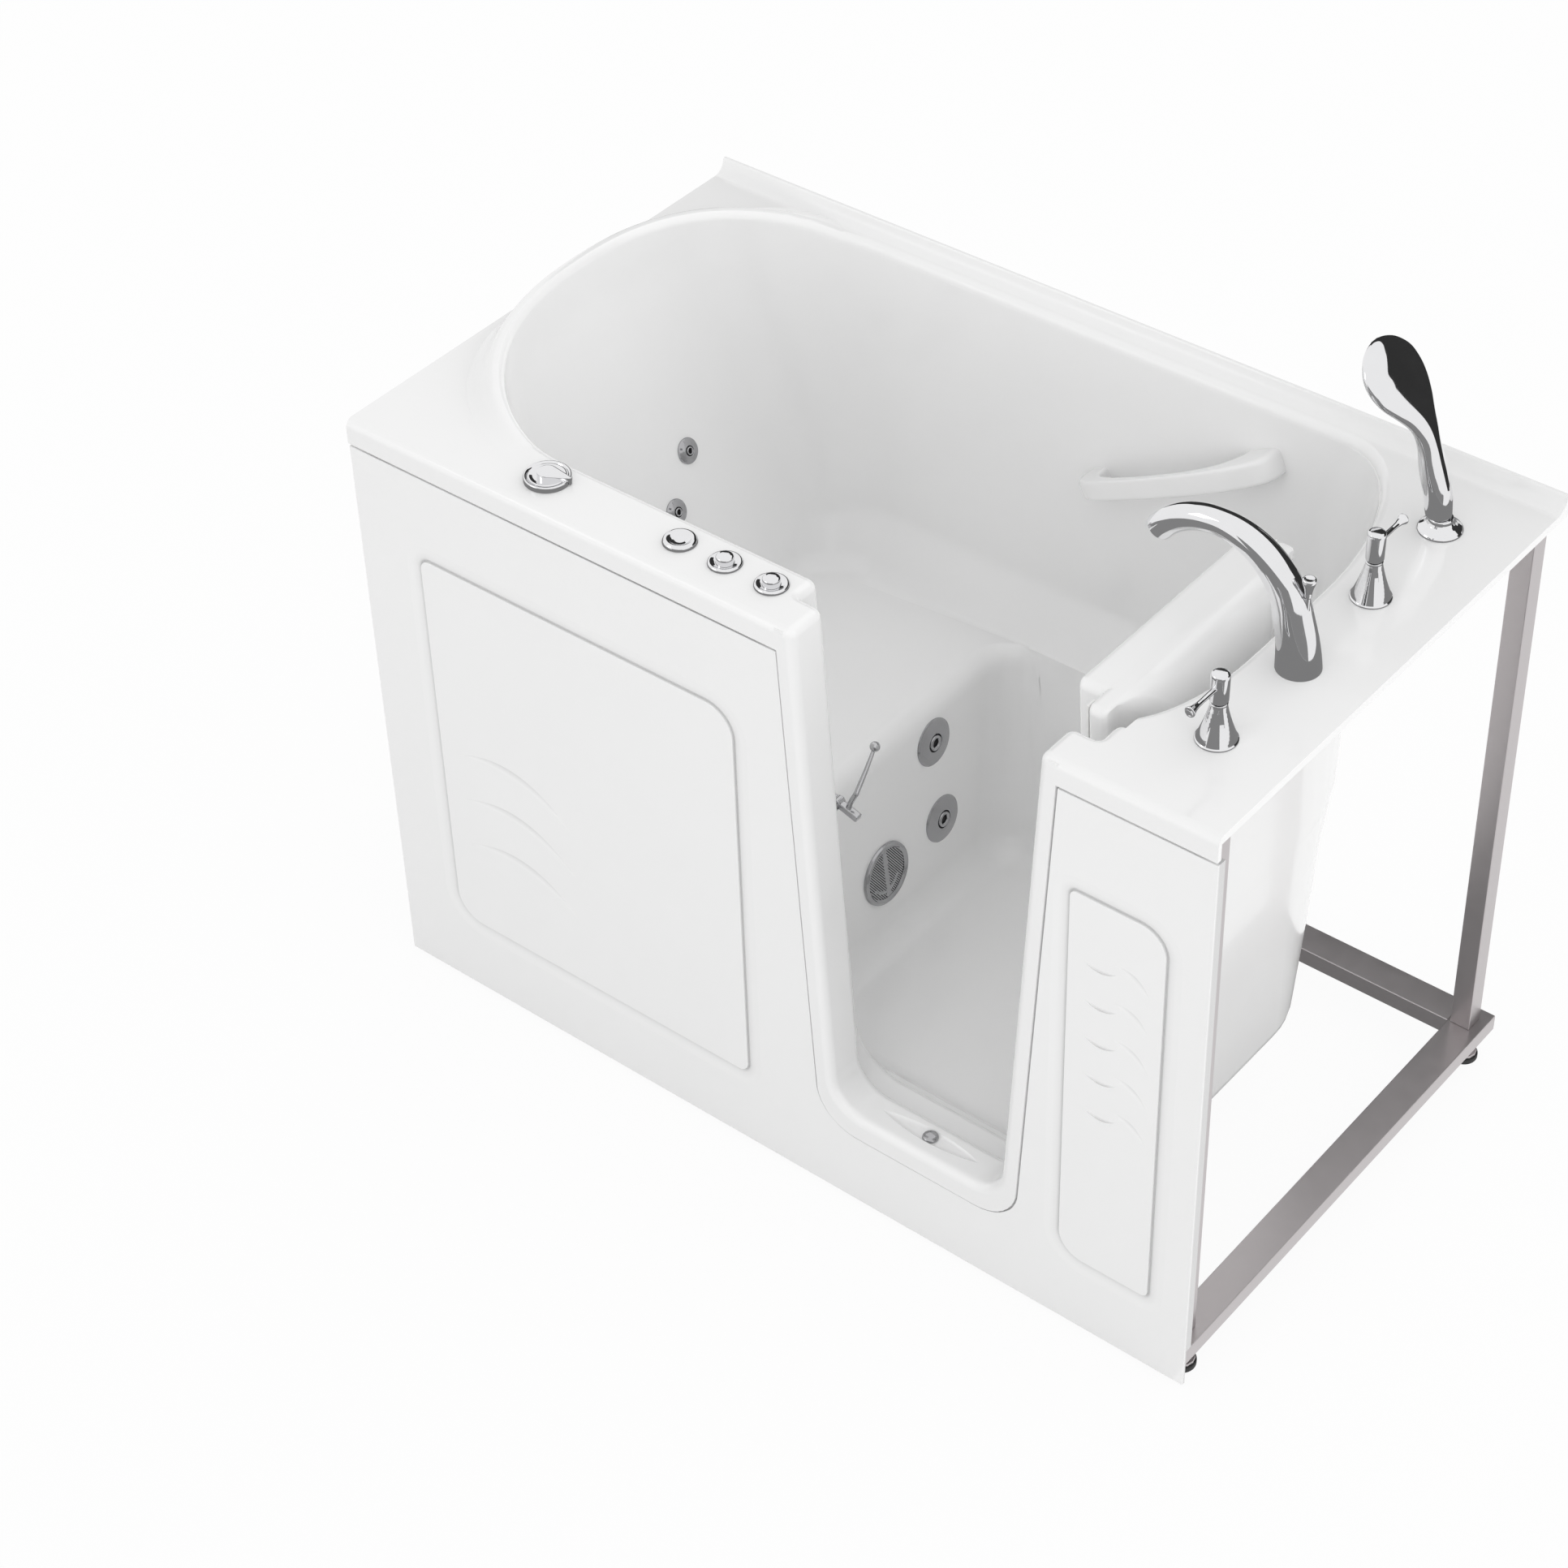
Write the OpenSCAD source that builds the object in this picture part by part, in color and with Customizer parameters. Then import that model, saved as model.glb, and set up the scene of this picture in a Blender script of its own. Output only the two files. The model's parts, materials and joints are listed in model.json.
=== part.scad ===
// Walk-in bathtub with an inward swinging side door, a seat and a tap deck.
// Origin: floor of the room under the middle of the tub. X runs from the seat
// end to the tap end, Y from the front panel to the wall, Z up. The door is
// drawn open, the way it stands while someone steps in.

/* [Tub] */
// Length of the deck
tub_l = 1346; // [1340:1:1352]
// Depth of the deck, front panel to wall
tub_w = 770; // [766:1:774]
// Height of the deck above the room floor
deck_h = 937; // [930:1:945]
// Height of the wall edge above the deck
upstand_h = 20; // [14:1:24]
// Height of the deck's front lip
front_lip = 36; // [30:1:40]
// Thickness of the moulded shell
shell_t = 8; // [6:0.5:9]
// Height of the seat
seat_h = 430; // [425:1:435]
// Height of the footwell floor
floor_h = 115; // [113:1:117]
// Height that the head rest rim rises above the deck
head_rise = 50; // [40:1:56]

/* [Door] */
// Middle of the door opening along the tub
door_x = 246; // [242:1:250]
// Width of the door opening at deck height
door_w = 362; // [358:1:366]
// Height of the door sill
sill_h = 163; // [160:1:166]
// Lean of each jamb, mm sideways per mm of height
jamb_lean = 0.061; // [0.05:0.001:0.065]
// Depth of the jamb in front of the rebate
jamb_d = 64; // [60:1:66]
// How far the rebate is cut back behind the jamb
rebate_w = 40; // [36:1:42]
// Angle that the door stands open
door_open = 90; // [0:5:90]

/* [Frame] */
// Width of the bottom rails
rail_w = 48; // [44:1:50]
// Height of the bottom rails
rail_t = 27; // [24:1:30]
// Height of the rails' top above the room floor
rail_top = 64; // [60:1:68]
// Side of the square posts
post_w = 30; // [26:1:32]
// Inset of the posts from the ends of the frame
post_in = 14; // [12:1:16]

/* [Fittings] */
// Distance of the tap row from the middle of the tub
tap_x = 574; // [570:1:578]
// Spacing of the taps, spout and shower along the deck
tap_gap = 165; // [160:1:168]
// Radius of the spout's foot
spout_r = 28; // [26:0.5:29]
// Radius of the spout's bow
spout_bow = 107; // [104:1:110]
// Length of each tap lever
lever_l = 62; // [56:1:64]
// Turn of the tap levers from closed
lever_turn = 0; // [0:5:90]
// Diameter of the water jets in the riser
riser_jet_d = 72; // [68:1:76]
// Diameter of the jets in the back rest
back_jet_d = 38; // [34:1:42]
// Diameter of the suction grille
grille_d = 96; // [92:1:100]
// Length of the grab bar
grab_l = 340; // [330:1:350]

/* [Hidden] */

acrylic = [0.93, 0.93, 0.92];
chrome = [0.75, 0.76, 0.78];
steel = [0.62, 0.60, 0.60];
rubber = [0.08, 0.08, 0.08];
pvc = [0.86, 0.87, 0.88];

x_end = tub_l / 2;
y_front = -tub_w / 2;
y_back = tub_w / 2;
$fn = 48;

// ---- sections of the basin -------------------------------------------------
// Each table gives a wall's place against height, on the inner surface.
head_wall = [[115, -432], [430, -432], [520, -468], [700, -545], [850, -606], [937, -634], [1010, -640]];
tap_wall = [[115, 478], [300, 489], [600, 500], [937, 522], [1010, 524]];
front_wall = [[115, -284], [937, -296], [1010, -296]];
back_wall = [[115, 217], [430, 283], [505, 330], [937, 350], [1010, 350]];
riser_wall = [[115, -47], [430, -117]];
head_corner_x = [[430, 90], [505, 120], [700, 185], [937, 268], [1010, 268]];
head_corner_y = [[430, 90], [505, 130], [700, 230], [937, 322], [1010, 322]];
tap_back_x = [[115, 110], [430, 130], [937, 185]];
tap_back_y = [[115, 110], [430, 150], [937, 290]];
tap_front_x = [[115, 60], [937, 90]];
tap_front_y = [[115, 60], [937, 170]];
seat_corner = 55;
big_steps = 12;
small_steps = 6;

function curve(a, n) = sign(cos(a)) * pow(abs(cos(a)), 2 / n);
function rise(a, n) = sign(sin(a)) * pow(abs(sin(a)), 2 / n);

// A quarter of a rounded corner from angle a0, centred on c
function corner(c, rx, ry, n, a0, steps) =
  [for (i = [0:steps]) let (a = a0 + 90 * i / steps) [c[0] + rx * curve(a, n), c[1] + ry * rise(a, n)]];

// Outline from the four walls and the corner radii, grown outwards by e;
// the seat end can be drawn in by a fillet that fades out at mid
function outline(left, right, front, back, lx, ly, bx, by, fx, fy, n, e, fillet, mid) = concat(
  corner([right - bx, back - by], bx + e, by + e, 2, 0, small_steps),
  [[mid, back + e]],
  corner([left + lx, back - ly], lx + e - fillet, ly + e - fillet, n, 90, big_steps),
  corner([left + lx, front + ly], lx + e - fillet, ly + e - fillet, n, 180, big_steps),
  [[mid, front - e]],
  corner([right - fx, front + fy], fx + e, fy + e, 2, 270, small_steps));

// Section with the seat recess, and section of the footwell under the seat
function full_section(z, e, fillet) = outline(
  lookup(z, head_wall), lookup(z, tap_wall), lookup(z, front_wall), lookup(z, back_wall),
  lookup(z, head_corner_x), lookup(z, head_corner_y), lookup(z, tap_back_x), lookup(z, tap_back_y),
  lookup(z, tap_front_x), lookup(z, tap_front_y), 2 + 0.3 * max(0, min(1, (z - 505) / 432)), e, fillet, -60);
function foot_section(z, e, round_edge) = outline(
  lookup(z, riser_wall) - round_edge, lookup(z, tap_wall), lookup(z, front_wall), lookup(z, back_wall),
  seat_corner, seat_corner, lookup(z, tap_back_x), lookup(z, tap_back_y),
  lookup(z, tap_front_x), lookup(z, tap_front_y), 2, e, 0, lookup(z, [[115, 40], [405, -40], [430, -60]]));

// How far a fillet of radius r has come out at height h above its foot
function fillet_out(r, h) = r - sqrt(r * r - pow(r - min(h, r), 2));

// Skin over rings of equally many points, [points, height] from top to bottom
module loft(rings) {
  n = len(rings[0][0]);
  m = len(rings);
  points = [for (r = rings) for (p = r[0]) [p[0], p[1], r[1]]];
  sides = [for (k = [0:m - 2]) for (i = [0:n - 1]) let (a = k * n + i, b = k * n + (i + 1) % n)
    each [[a, b, b + n], [a, b + n, a + n]]];
  caps = [[for (i = [n - 1:-1:0]) i], [for (i = [0:n - 1]) (m - 1) * n + i]];
  polyhedron(points, concat(sides, caps));
}

// The space inside the tub, grown by e for the outer face of the shell
seat_fillet = 26;
edge_round = 30;
floor_fillet = 40;
module basin_space(e, top) {
  drop = e > 0 ? shell_t : 0;
  full = [for (z = [top, 937, 850, 700, 600, 505]) if (z <= top) [full_section(z, e, 0), z]];
  seat = [for (h = [26, 16, 8, 3, 0]) [full_section(seat_h + h, e, fillet_out(seat_fillet, h)), seat_h + h - drop]];
  edge = [for (h = [0.4, 3, 9, 18, 30]) [foot_section(seat_h - h, e, fillet_out(edge_round, h)), seat_h - h - drop]];
  foot = [[foot_section(290, e, 0), 290 - drop]];
  base = [for (h = [40, 24, 12, 4, 0])
    [foot_section(floor_h + h, e - fillet_out(floor_fillet, h), 0), floor_h + h - drop]];
  loft(concat(full, seat, edge, foot, base));
}

// ---- outline of the door opening, in the XZ plane ---------------------------
// grow widens it, base is its bottom edge, r rounds the bottom corners
function half_width(z, grow) = door_w / 2 - jamb_lean * (deck_h - z) + grow;
module u_shape(grow, base, r, top) {
  hull() {
    for (s = [-1, 1])
      translate([s * (half_width(base + r, grow) - r), base + r]) circle(r);
    translate([-half_width(top, grow), top - 1]) square([2 * half_width(top, grow), 1]);
  }
}
module u_slab(grow, base, r, top, y0, y1)
  translate([door_x, y1, 0]) rotate([90, 0, 0]) linear_extrude(y1 - y0) u_shape(grow, base, r, top);

// ---- shell ------------------------------------------------------------------
lip_t = 7;
deck_round = 12;
cove_r = 16;

// Section of the deck across the tub: lip, deck, cove and edge at the wall
module deck_profile() {
  top = deck_h + upstand_h;
  polygon(concat(
    [[y_front, deck_h - front_lip], [y_front, deck_h - deck_round]],
    [for (a = [165:-15:90]) [y_front + deck_round + deck_round * cos(a), deck_h - deck_round + deck_round * sin(a)]],
    [[y_back - 5 - cove_r, deck_h]],
    [for (a = [-75:15:0]) [y_back - 5 - cove_r + cove_r * cos(a), deck_h + cove_r + cove_r * sin(a)]],
    [[y_back - 4, top - 1], [y_back - 3, top], [y_back, top], [y_back, deck_h - 12], [y_back - lip_t, deck_h - 12],
     [y_back - lip_t, deck_h - shell_t], [y_front + lip_t, deck_h - shell_t], [y_front + lip_t, deck_h - front_lip]]));
}
module deck() {
  intersection() {
    union() {
      rotate([90, 0, 90]) translate([0, 0, -x_end]) linear_extrude(tub_l) deck_profile();
      for (s = [-1, 1])
        translate([s * (x_end - lip_t / 2) - lip_t / 2, y_front + lip_t, deck_h - 12]) cube([lip_t, tub_w - 2 * lip_t, 12]);
    }
    linear_extrude(deck_h + 2 * upstand_h) {
      translate([-x_end, y_front + deck_round]) square([tub_l, tub_w - deck_round]);
      translate([-x_end + deck_round, y_front]) square([tub_l - 2 * deck_round, tub_w]);
      for (s = [-1, 1]) translate([s * (x_end - deck_round), y_front + deck_round]) circle(deck_round);
    }
  }
}

// Rim behind the bather's head, rising out of the deck towards the seat end
rim_left = -662;
rim_out_x = 270;
rim_out_y = 317;
rim_mid_y = 27;
function rim_arc(e) = concat(
  corner([rim_left + rim_out_x, rim_mid_y], rim_out_x - e, rim_out_y - e, 2.3, 90, big_steps),
  corner([rim_left + rim_out_x, rim_mid_y], rim_out_x - e, rim_out_y - e, 2.3, 180, big_steps));
function rim_height(x) = (head_rise + 3) * pow(max(0, min(1, (-415 - x) / 247)), 1.2) - 3;
module head_rim() {
  n = 2 * (big_steps + 1);
  steps = [[0, 0, -12], [0, 1, -6], [1.5, 1, -2.5], [6, 1, 0]];
  points = concat(
    [for (s = steps) for (p = rim_arc(s[0])) [p[0], p[1], deck_h + s[2] + s[1] * rim_height(p[0])]],
    [[rim_left + rim_out_x - 60, rim_mid_y, deck_h + 5]]);
  sides = [for (k = [0:2]) for (i = [0:n - 1]) let (a = k * n + i, b = k * n + (i + 1) % n)
    each [[a, b + n, b], [a, a + n, b + n]]];
  top = [for (i = [0:n - 1]) [3 * n + i, 4 * n, 3 * n + (i + 1) % n]];
  polyhedron(points, concat(sides, top, [[for (i = [0:n - 1]) i]]));
}

// Leaf shaped gutter in the sill, with its drain hole in the middle
sill_y = y_front + 35;
gutter_l = 82;
module sill_gutter() {
  r = 290;
  translate([door_x, sill_y, sill_h - 3]) linear_extrude(6) intersection() {
    translate([0, r - 12]) circle(r, $fn = 180);
    translate([0, 12 - r]) circle(r, $fn = 180);
  }
  translate([door_x, sill_y, sill_h - 3]) cylinder(6, r = 14);
  translate([door_x, sill_y, sill_h - 40]) cylinder(60, r = 6.5);
}

// Places on the deck
deck_row = y_front + 60;
dial_x = -376;
cap_x = -158;
button_x = [-86, -13];
tap_y = [for (k = [-1:2]) -77 + k * tap_gap];
hot = [tap_x, tap_y[0], deck_h];
spout_foot = [tap_x + 4, tap_y[1], deck_h];
cold = [tap_x, tap_y[2], deck_h];
shower = [tap_x - 4, tap_y[3], deck_h];
module deck_holes() {
  for (p = [hot, spout_foot, cold, shower]) translate([p[0], p[1], deck_h - 20]) cylinder(40, r = 14);
  for (x = concat([dial_x], button_x)) translate([x, deck_row, deck_h - 20]) cylinder(40, r = 15);
}

// The riser leans; jets and suction stand square to it
riser_lean = atan(70 / 315);
module on_riser(y, z) {
  translate([lookup(z, riser_wall), y, z]) rotate([0, 90 - riser_lean, 0]) children();
}
riser_jet_at = [[97, 368], [97, 244]];
suction_at = [-35, 226];
// The back rest leans the other way; its jets stand two a side of the middle
back_jet_at = [for (s = [-1, 1]) each [[27 + s * 85, 666], [27 + s * 26, 606]]];
function back_lean(z) = atan((lookup(z + 10, head_wall) - lookup(z - 10, head_wall)) / 20);
function head_x(y, z) = let (rx = lookup(z, head_corner_x), ry = lookup(z, head_corner_y), n = 2 + 0.3 * max(0, min(1, (z - 505) / 432)),
  mid = y > 0 ? lookup(z, back_wall) - ry : lookup(z, front_wall) + ry, v = (y > 0 ? y - mid : mid - y) / ry)
  lookup(z, head_wall) + rx * (1 - pow(1 - pow(max(0, v), n), 1 / n));
module on_back_rest(y, z) {
  side = (head_x(y + 15, z) - head_x(y - 15, z)) / 30;
  translate([head_x(y, z), y, z]) rotate([0, 0, -atan(side)]) rotate([0, 90 + back_lean(z), 0]) children();
}
seat_deep = 4;
module wall_seats() {
  for (p = riser_jet_at) on_riser(p[0], p[1]) {
    translate([0, 0, -1.5]) cylinder(20, d = riser_jet_d + 1);
    translate([0, 0, -30]) cylinder(40, r = 21);
  }
  on_riser(suction_at[0], suction_at[1]) {
    translate([0, 0, -1.5]) cylinder(20, d = grille_d + 1);
    translate([0, 0, -30]) cylinder(40, r = 32);
  }
  for (p = back_jet_at) on_back_rest(p[0], p[1]) {
    translate([0, 0, -seat_deep]) cylinder(24, d = back_jet_d + 1);
    translate([0, 0, -30]) cylinder(40, r = 11.5);
  }
}

drain_at = [350, 120];
latch_at = [27, -290.6, 563];
// The rebate is squared out on the hinge side so that the hinges stand upright
slot_x = 459;
slot_low = 225;
slot_high = deck_h - (door_x + door_w / 2 + rebate_w - slot_x) / jamb_lean;
seam_gap = 1.5;
frame_face = 27;
module tub_shell() color(acrylic) difference() {
  union() {
    basin_space(shell_t, deck_h - 3);
    deck();
    head_rim();
    u_slab(frame_face, sill_h - 38, 65, deck_h - 4, y_front, y_front + 12);
    u_slab(rebate_w + 9, sill_h - 36, 65, deck_h - 4, y_front + 8, -280);
    translate([400, y_front + 8, slot_low - 9]) cube([slot_x + 9 - 400, 115, deck_h - 4 - slot_low]);
  }
  basin_space(0, 1010);
  u_slab(0, sill_h, 50, deck_h + 60, y_front - 5, -270);
  u_slab(rebate_w, sill_h - 21, 55, deck_h + 60, y_front + jamb_d, -270);
  translate([380, y_front + jamb_d, slot_low]) cube([slot_x - 380, 60, slot_high - slot_low]);
  sill_gutter();
  deck_holes();
  wall_seats();
  translate([drain_at[0], drain_at[1], floor_h - 3]) cylinder(20, r = 36.5);
  translate([drain_at[0], drain_at[1], floor_h - 30]) cylinder(40, r = 22.5);
  translate([latch_at[0] - 20, latch_at[1], latch_at[2] - 24]) cube([40, 12, 48]);
}

// ---- front panel --------------------------------------------------------------
panel_t = 5;
relief_t = 2;
panel_face = y_front + relief_t;
panel_back = panel_face + panel_t;
panel_low = 5;
panel_high = deck_h - front_lip - seam_gap;

// Field with two small and two large corners
module rounded(w, h, r_small, r_big) hull() {
  translate([r_big, r_big]) circle(r_big);
  translate([w - r_small, r_small]) circle(r_small);
  translate([w - r_big, h - r_big]) circle(r_big);
  translate([r_small, h - r_small]) circle(r_small);
}
// Sunk channel round a field: a wide shallow step, then a narrow deep line
groove_d = 2.5;
groove_w = 8;
step_d = 1.2;
step_w = 10;
module field_ring(w, h, r_small, r_big, wide) difference() {
  rounded(w, h, r_small, r_big);
  translate([wide, wide]) rounded(w - 2 * wide, h - 2 * wide, max(r_small - wide, 2), r_big - wide);
}
module field_groove(x, z, w, h, r_small, r_big) {
  translate([x, panel_face + groove_d, z]) rotate([90, 0, 0]) linear_extrude(groove_d + 5)
    field_ring(w, h, r_small, r_big, groove_w);
  translate([x - step_w, panel_face + step_d, z - step_w]) rotate([90, 0, 0]) linear_extrude(step_d + 5)
    field_ring(w + 2 * step_w, h + 2 * step_w, r_small + step_w, r_big + step_w, step_w + 1);
}
// Sickle between two arcs with blunt tips, w long, sag high and wide at its middle
module sickle(w, sag, wide) {
  outer = (w * w / 4 + sag * sag) / (2 * sag);
  inner_sag = sag - wide;
  inner = (w * w / 4 + inner_sag * inner_sag) / (2 * inner_sag);
  difference() {
    translate([w / 2, sag - outer]) circle(outer, $fn = 120);
    translate([w / 2, inner_sag - inner]) circle(inner, $fn = 120);
    translate([-2 * outer, -4 * outer]) square([4 * outer + w, 4 * outer + wide / 10]);
  }
}
module on_panel(x, z, turn)
  translate([x, panel_face + 0.5, z]) rotate([90, turn, 0]) linear_extrude(relief_t + 0.5) children();
module panel_relief() {
  for (k = [0:2]) on_panel(-518 + 2 * k, 437 - 80 * k, 10) sickle(174, 34, 10);
  for (k = [0:4]) {
    on_panel(499 + 2 * k, 650 - 61 * k, 4) mirror([0, 1]) sickle(46, 9, 5);
    on_panel(540 + k, 668 - 61 * k, -30) sickle(62, 14, 7);
  }
}
module front_panel() color(acrylic) {
  difference() {
    union() {
      translate([-x_end, panel_face, panel_low]) cube([tub_l, panel_t, panel_high - panel_low]);
      for (s = [-1, 1])
        translate([s * (x_end - 2) - 2, panel_face + 1, rail_top + 1]) cube([4, 14, panel_high - rail_top - 1]);
    }
    u_slab(frame_face + seam_gap, sill_h - 38 - seam_gap, 65 + seam_gap, deck_h, y_front - 5, y_front + 30);
    field_groove(-576, 118, 556, 656, 26, 56);
    field_groove(456, 118, 170, 650, 16, 50);
  }
  panel_relief();
}

clip_z = [140, 760];
module panel_clips() color(steel)
  for (s = [-1, 1]) for (z = clip_z)
    translate([s * post_x - 12, panel_back, z]) cube([24, post_front_y - post_w / 2 - panel_back, 40]);

// ---- frame --------------------------------------------------------------------
frame_x = x_end - 1;
rail_front_y = panel_back + 1;
rail_low = rail_top - rail_t;
post_x = frame_x - post_in - post_w / 2;
post_back_y = y_back - 18 - post_w / 2;
post_front_y = rail_front_y + 12 + post_w / 2;
tube_t = 3;

// Square tube along Z with an open bore
module tube(w, d, h, t) difference() {
  translate([-w / 2, -d / 2, 0]) cube([w, d, h]);
  translate([t - w / 2, t - d / 2, -1]) cube([w - 2 * t, d - 2 * t, h + 2]);
}
module side_rail(s) color(steel)
  translate([s * (frame_x - rail_w / 2), y_back, rail_low + rail_t / 2])
    rotate([90, 0, 0]) tube(rail_w, rail_t, y_back - rail_front_y, tube_t);
module long_rail(y) color(steel)
  translate([rail_w - frame_x, y, rail_low + rail_t / 2])
    rotate([0, 90, 0]) tube(rail_t, rail_w, 2 * (frame_x - rail_w), tube_t);
module rail_front() long_rail(rail_front_y + rail_w / 2);
module rail_back() long_rail(y_back - rail_w / 2);
module rail_seat_end() side_rail(-1);
module rail_tap_end() side_rail(1);

module post(sx, y) color(steel)
  translate([sx * post_x, y, rail_top]) tube(post_w, post_w, deck_h - shell_t - rail_top, 2.5);
module post_front_left() post(-1, post_front_y);
module post_front_right() post(1, post_front_y);
module post_back_left() post(-1, post_back_y);
module post_back_right() post(1, post_back_y);

bearer_x = [30, 270];
bearer_w = 40;
module cross_bearers() color(steel)
  for (x = bearer_x)
    translate([x, y_back - 2, rail_top + (floor_h - shell_t - rail_top) / 2]) rotate([90, 0, 0])
      tube(bearer_w, floor_h - shell_t - rail_top, y_back - 2 - rail_front_y - 2, tube_t);

foot_at = concat([for (s = [-1, 1]) for (y = [-348, 350]) [s * 648, y]], [for (y = [-348, 360]) [-40, y]]);
pad_h = 9;
disc_h = 5;
module foot_pads() color(rubber)
  for (p = foot_at) translate([p[0], p[1], 0]) rotate_extrude()
    polygon([[0, 0], [19, 0], [20, 1], [20, pad_h - 1], [19, pad_h], [0, pad_h]]);
module foot_discs() color(steel)
  for (p = foot_at) translate([p[0], p[1], pad_h]) {
    cylinder(disc_h, r = 18, $fn = 12);
    translate([0, 0, disc_h]) cylinder(3, r1 = 11, r2 = 8);
  }
stem_low = pad_h + disc_h + 3;
module foot_stems() color(steel)
  for (p = foot_at) translate([p[0], p[1], 0]) {
    translate([0, 0, stem_low]) cylinder(rail_low - stem_low, r = 5);
    translate([0, 0, rail_low - 8]) cylinder(8, r = 9.5, $fn = 6);
  }

// ---- door ------------------------------------------------------------------------
hinge = [453, -288];
plug_face = y_front + 30;
flange_y0 = y_front + jamb_d + 3;
flange_t = 25;
flange_y1 = flange_y0 + flange_t;
flange_over = 22;
plug_gap = 11;
door_low = sill_h - 16;
// Puts a piece drawn in the closed door where the open door holds it
module door_pose() translate([hinge[0], hinge[1], 0]) rotate([0, 0, -door_open]) translate([-hinge[0], -hinge[1], 0]) children();

// Inner face swells towards the middle; its upper edge is rounded over
module belly_slab(inset, low, y_low, y_high, drop) {
  lean = atan((y_high - y_low) / (deck_h - low));
  translate([door_x, y_low, 0]) translate([0, 0, low]) rotate([-lean, 0, 0]) translate([0, 0, -low])
    rotate([90, 0, 0]) linear_extrude(1) u_shape(flange_over - inset, low, 55, deck_h - drop);
}
module door_panel() color(acrylic) door_pose() difference() {
  union() {
    u_slab(-plug_gap, sill_h + 8, 42, deck_h, plug_face, flange_y0 + 1);
    u_slab(flange_over, door_low, 50, deck_h, flange_y0, flange_y1);
    intersection() {
      hull() {
        u_slab(flange_over - 22, door_low + 20, 45, deck_h, flange_y1 - 2, flange_y1);
        belly_slab(32, door_low + 24, flange_y1 + 6, flange_y1 + 19, 1.5);
        belly_slab(50, door_low + 38, flange_y1 + 12, flange_y1 + 36, 8);
        belly_slab(78, door_low + 58, flange_y1 + 15, flange_y1 + 48, 20);
        belly_slab(125, door_low + 90, flange_y1 + 17, flange_y1 + 55, 42);
      }
      translate([-200, flange_y1 - 2, 0]) cube([900, 200, deck_h]);
    }
  }
}
seal_t = 2.6;
module door_seal() color([0.80, 0.80, 0.80]) door_pose() difference() {
  u_slab(flange_over - 3, door_low + 3, 47, deck_h - 2, flange_y0 - seal_t, flange_y0);
  u_slab(4, sill_h - 3, 46, deck_h + 9, flange_y0 - seal_t - 1, flange_y0 + 1);
}
keeper_t = 3.8;
keeper_x = latch_at[0] + 49;
module door_keeper() color(chrome) door_pose()
  translate([keeper_x - 8, flange_y1, latch_at[2] - 46]) difference() {
    cube([17, keeper_t, 60]);
    for (z = [7, 53]) translate([8.5, 5, z]) rotate([90, 0, 0]) cylinder(6, r = 1.8);
  }

// Two butt hinges, upper and lower, between the flange and the squared rebate
hinge_z = [252, 694];
hinge_l = 90;
knuckle_r = 4.8;
pin_r = 2.6;
leaf_t = 2.4;
// Knuckles of one leaf: the outer two belong to the frame, the middle one to the door
module knuckle(z, l) translate([hinge[0], hinge[1], z]) difference() {
  cylinder(l, r = knuckle_r);
  translate([0, 0, -1]) cylinder(l + 2, r = pin_r + 0.05);
}
leaf_in = 17;
function flange_edge(z) = door_x + half_width(z, flange_over) - leaf_in;
module hinge_door_leaves() color(chrome) door_pose()
  for (z = hinge_z) {
    knuckle(z + 30.3, 29.4);
    difference() {
      translate([flange_edge(z), flange_y1, z + 30.3]) cube([hinge[0] - 2 - flange_edge(z), leaf_t, 29.4]);
      translate([hinge[0], hinge[1], z]) cylinder(hinge_l, r = knuckle_r - 0.5);
      for (k = [38, 52])
        translate([flange_edge(z) + 6, flange_y1 + 5, z + k]) rotate([90, 0, 0]) cylinder(6, r = 2);
    }
  }
module hinge_frame_leaves() color(chrome)
  for (z = hinge_z) difference() {
    union() {
      for (k = [0, 60]) {
        knuckle(z + k, 30);
        translate([slot_x - leaf_t, hinge[1] - 8, z + k]) cube([leaf_t - 0.02, 9, 30]);
      }
      translate([slot_x - leaf_t, y_front + jamb_d + 2, z])
        cube([leaf_t - 0.02, hinge[1] - 6.5 - y_front - jamb_d - 2, hinge_l]);
    }
    translate([hinge[0], hinge[1], z - 1]) cylinder(hinge_l + 2, r = pin_r + 0.05);
    for (k = [12, 78])
      translate([slot_x - 6, hinge[1] - 20, z + k]) rotate([0, 90, 0]) cylinder(8, r = 2);
  }
module hinge_pins() color(chrome)
  for (z = hinge_z) translate([hinge[0], hinge[1], z]) {
    cylinder(hinge_l, r = pin_r);
    for (k = [-3, hinge_l]) translate([0, 0, k]) cylinder(3, r = knuckle_r - 0.6);
  }

// ---- latch ------------------------------------------------------------------------
// Arm on a spindle beside the opening; turned half round it presses the door shut
latch_tilt = 18;
arm_y = -256;
arm_l = 95;
arm_right = 35;
pad_at = 51;
module latch_place() translate([latch_at[0], arm_y, latch_at[2]]) children();
module latch_pose() latch_place() rotate([0, latch_tilt, 0]) children();
boss_face = arm_y - 6.4;
spindle_r = 4;
module latch_base() color(chrome) translate([latch_at[0], 0, latch_at[2]]) difference() {
  union() {
    translate([-19, latch_at[1], -23]) cube([38, 6, 46]);
    translate([0, boss_face, 0]) rotate([90, 0, 0]) cylinder(boss_face - latch_at[1], r = 13);
  }
  rotate([90, 0, 0]) translate([0, 0, -boss_face - 1]) cylinder(22, r = spindle_r + 0.05);
  for (s = [-1, 1]) for (k = [-1, 1])
    translate([s * 14.5, -280, k * 18]) rotate([90, 0, 0]) cylinder(20, r = 2);
}
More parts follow.
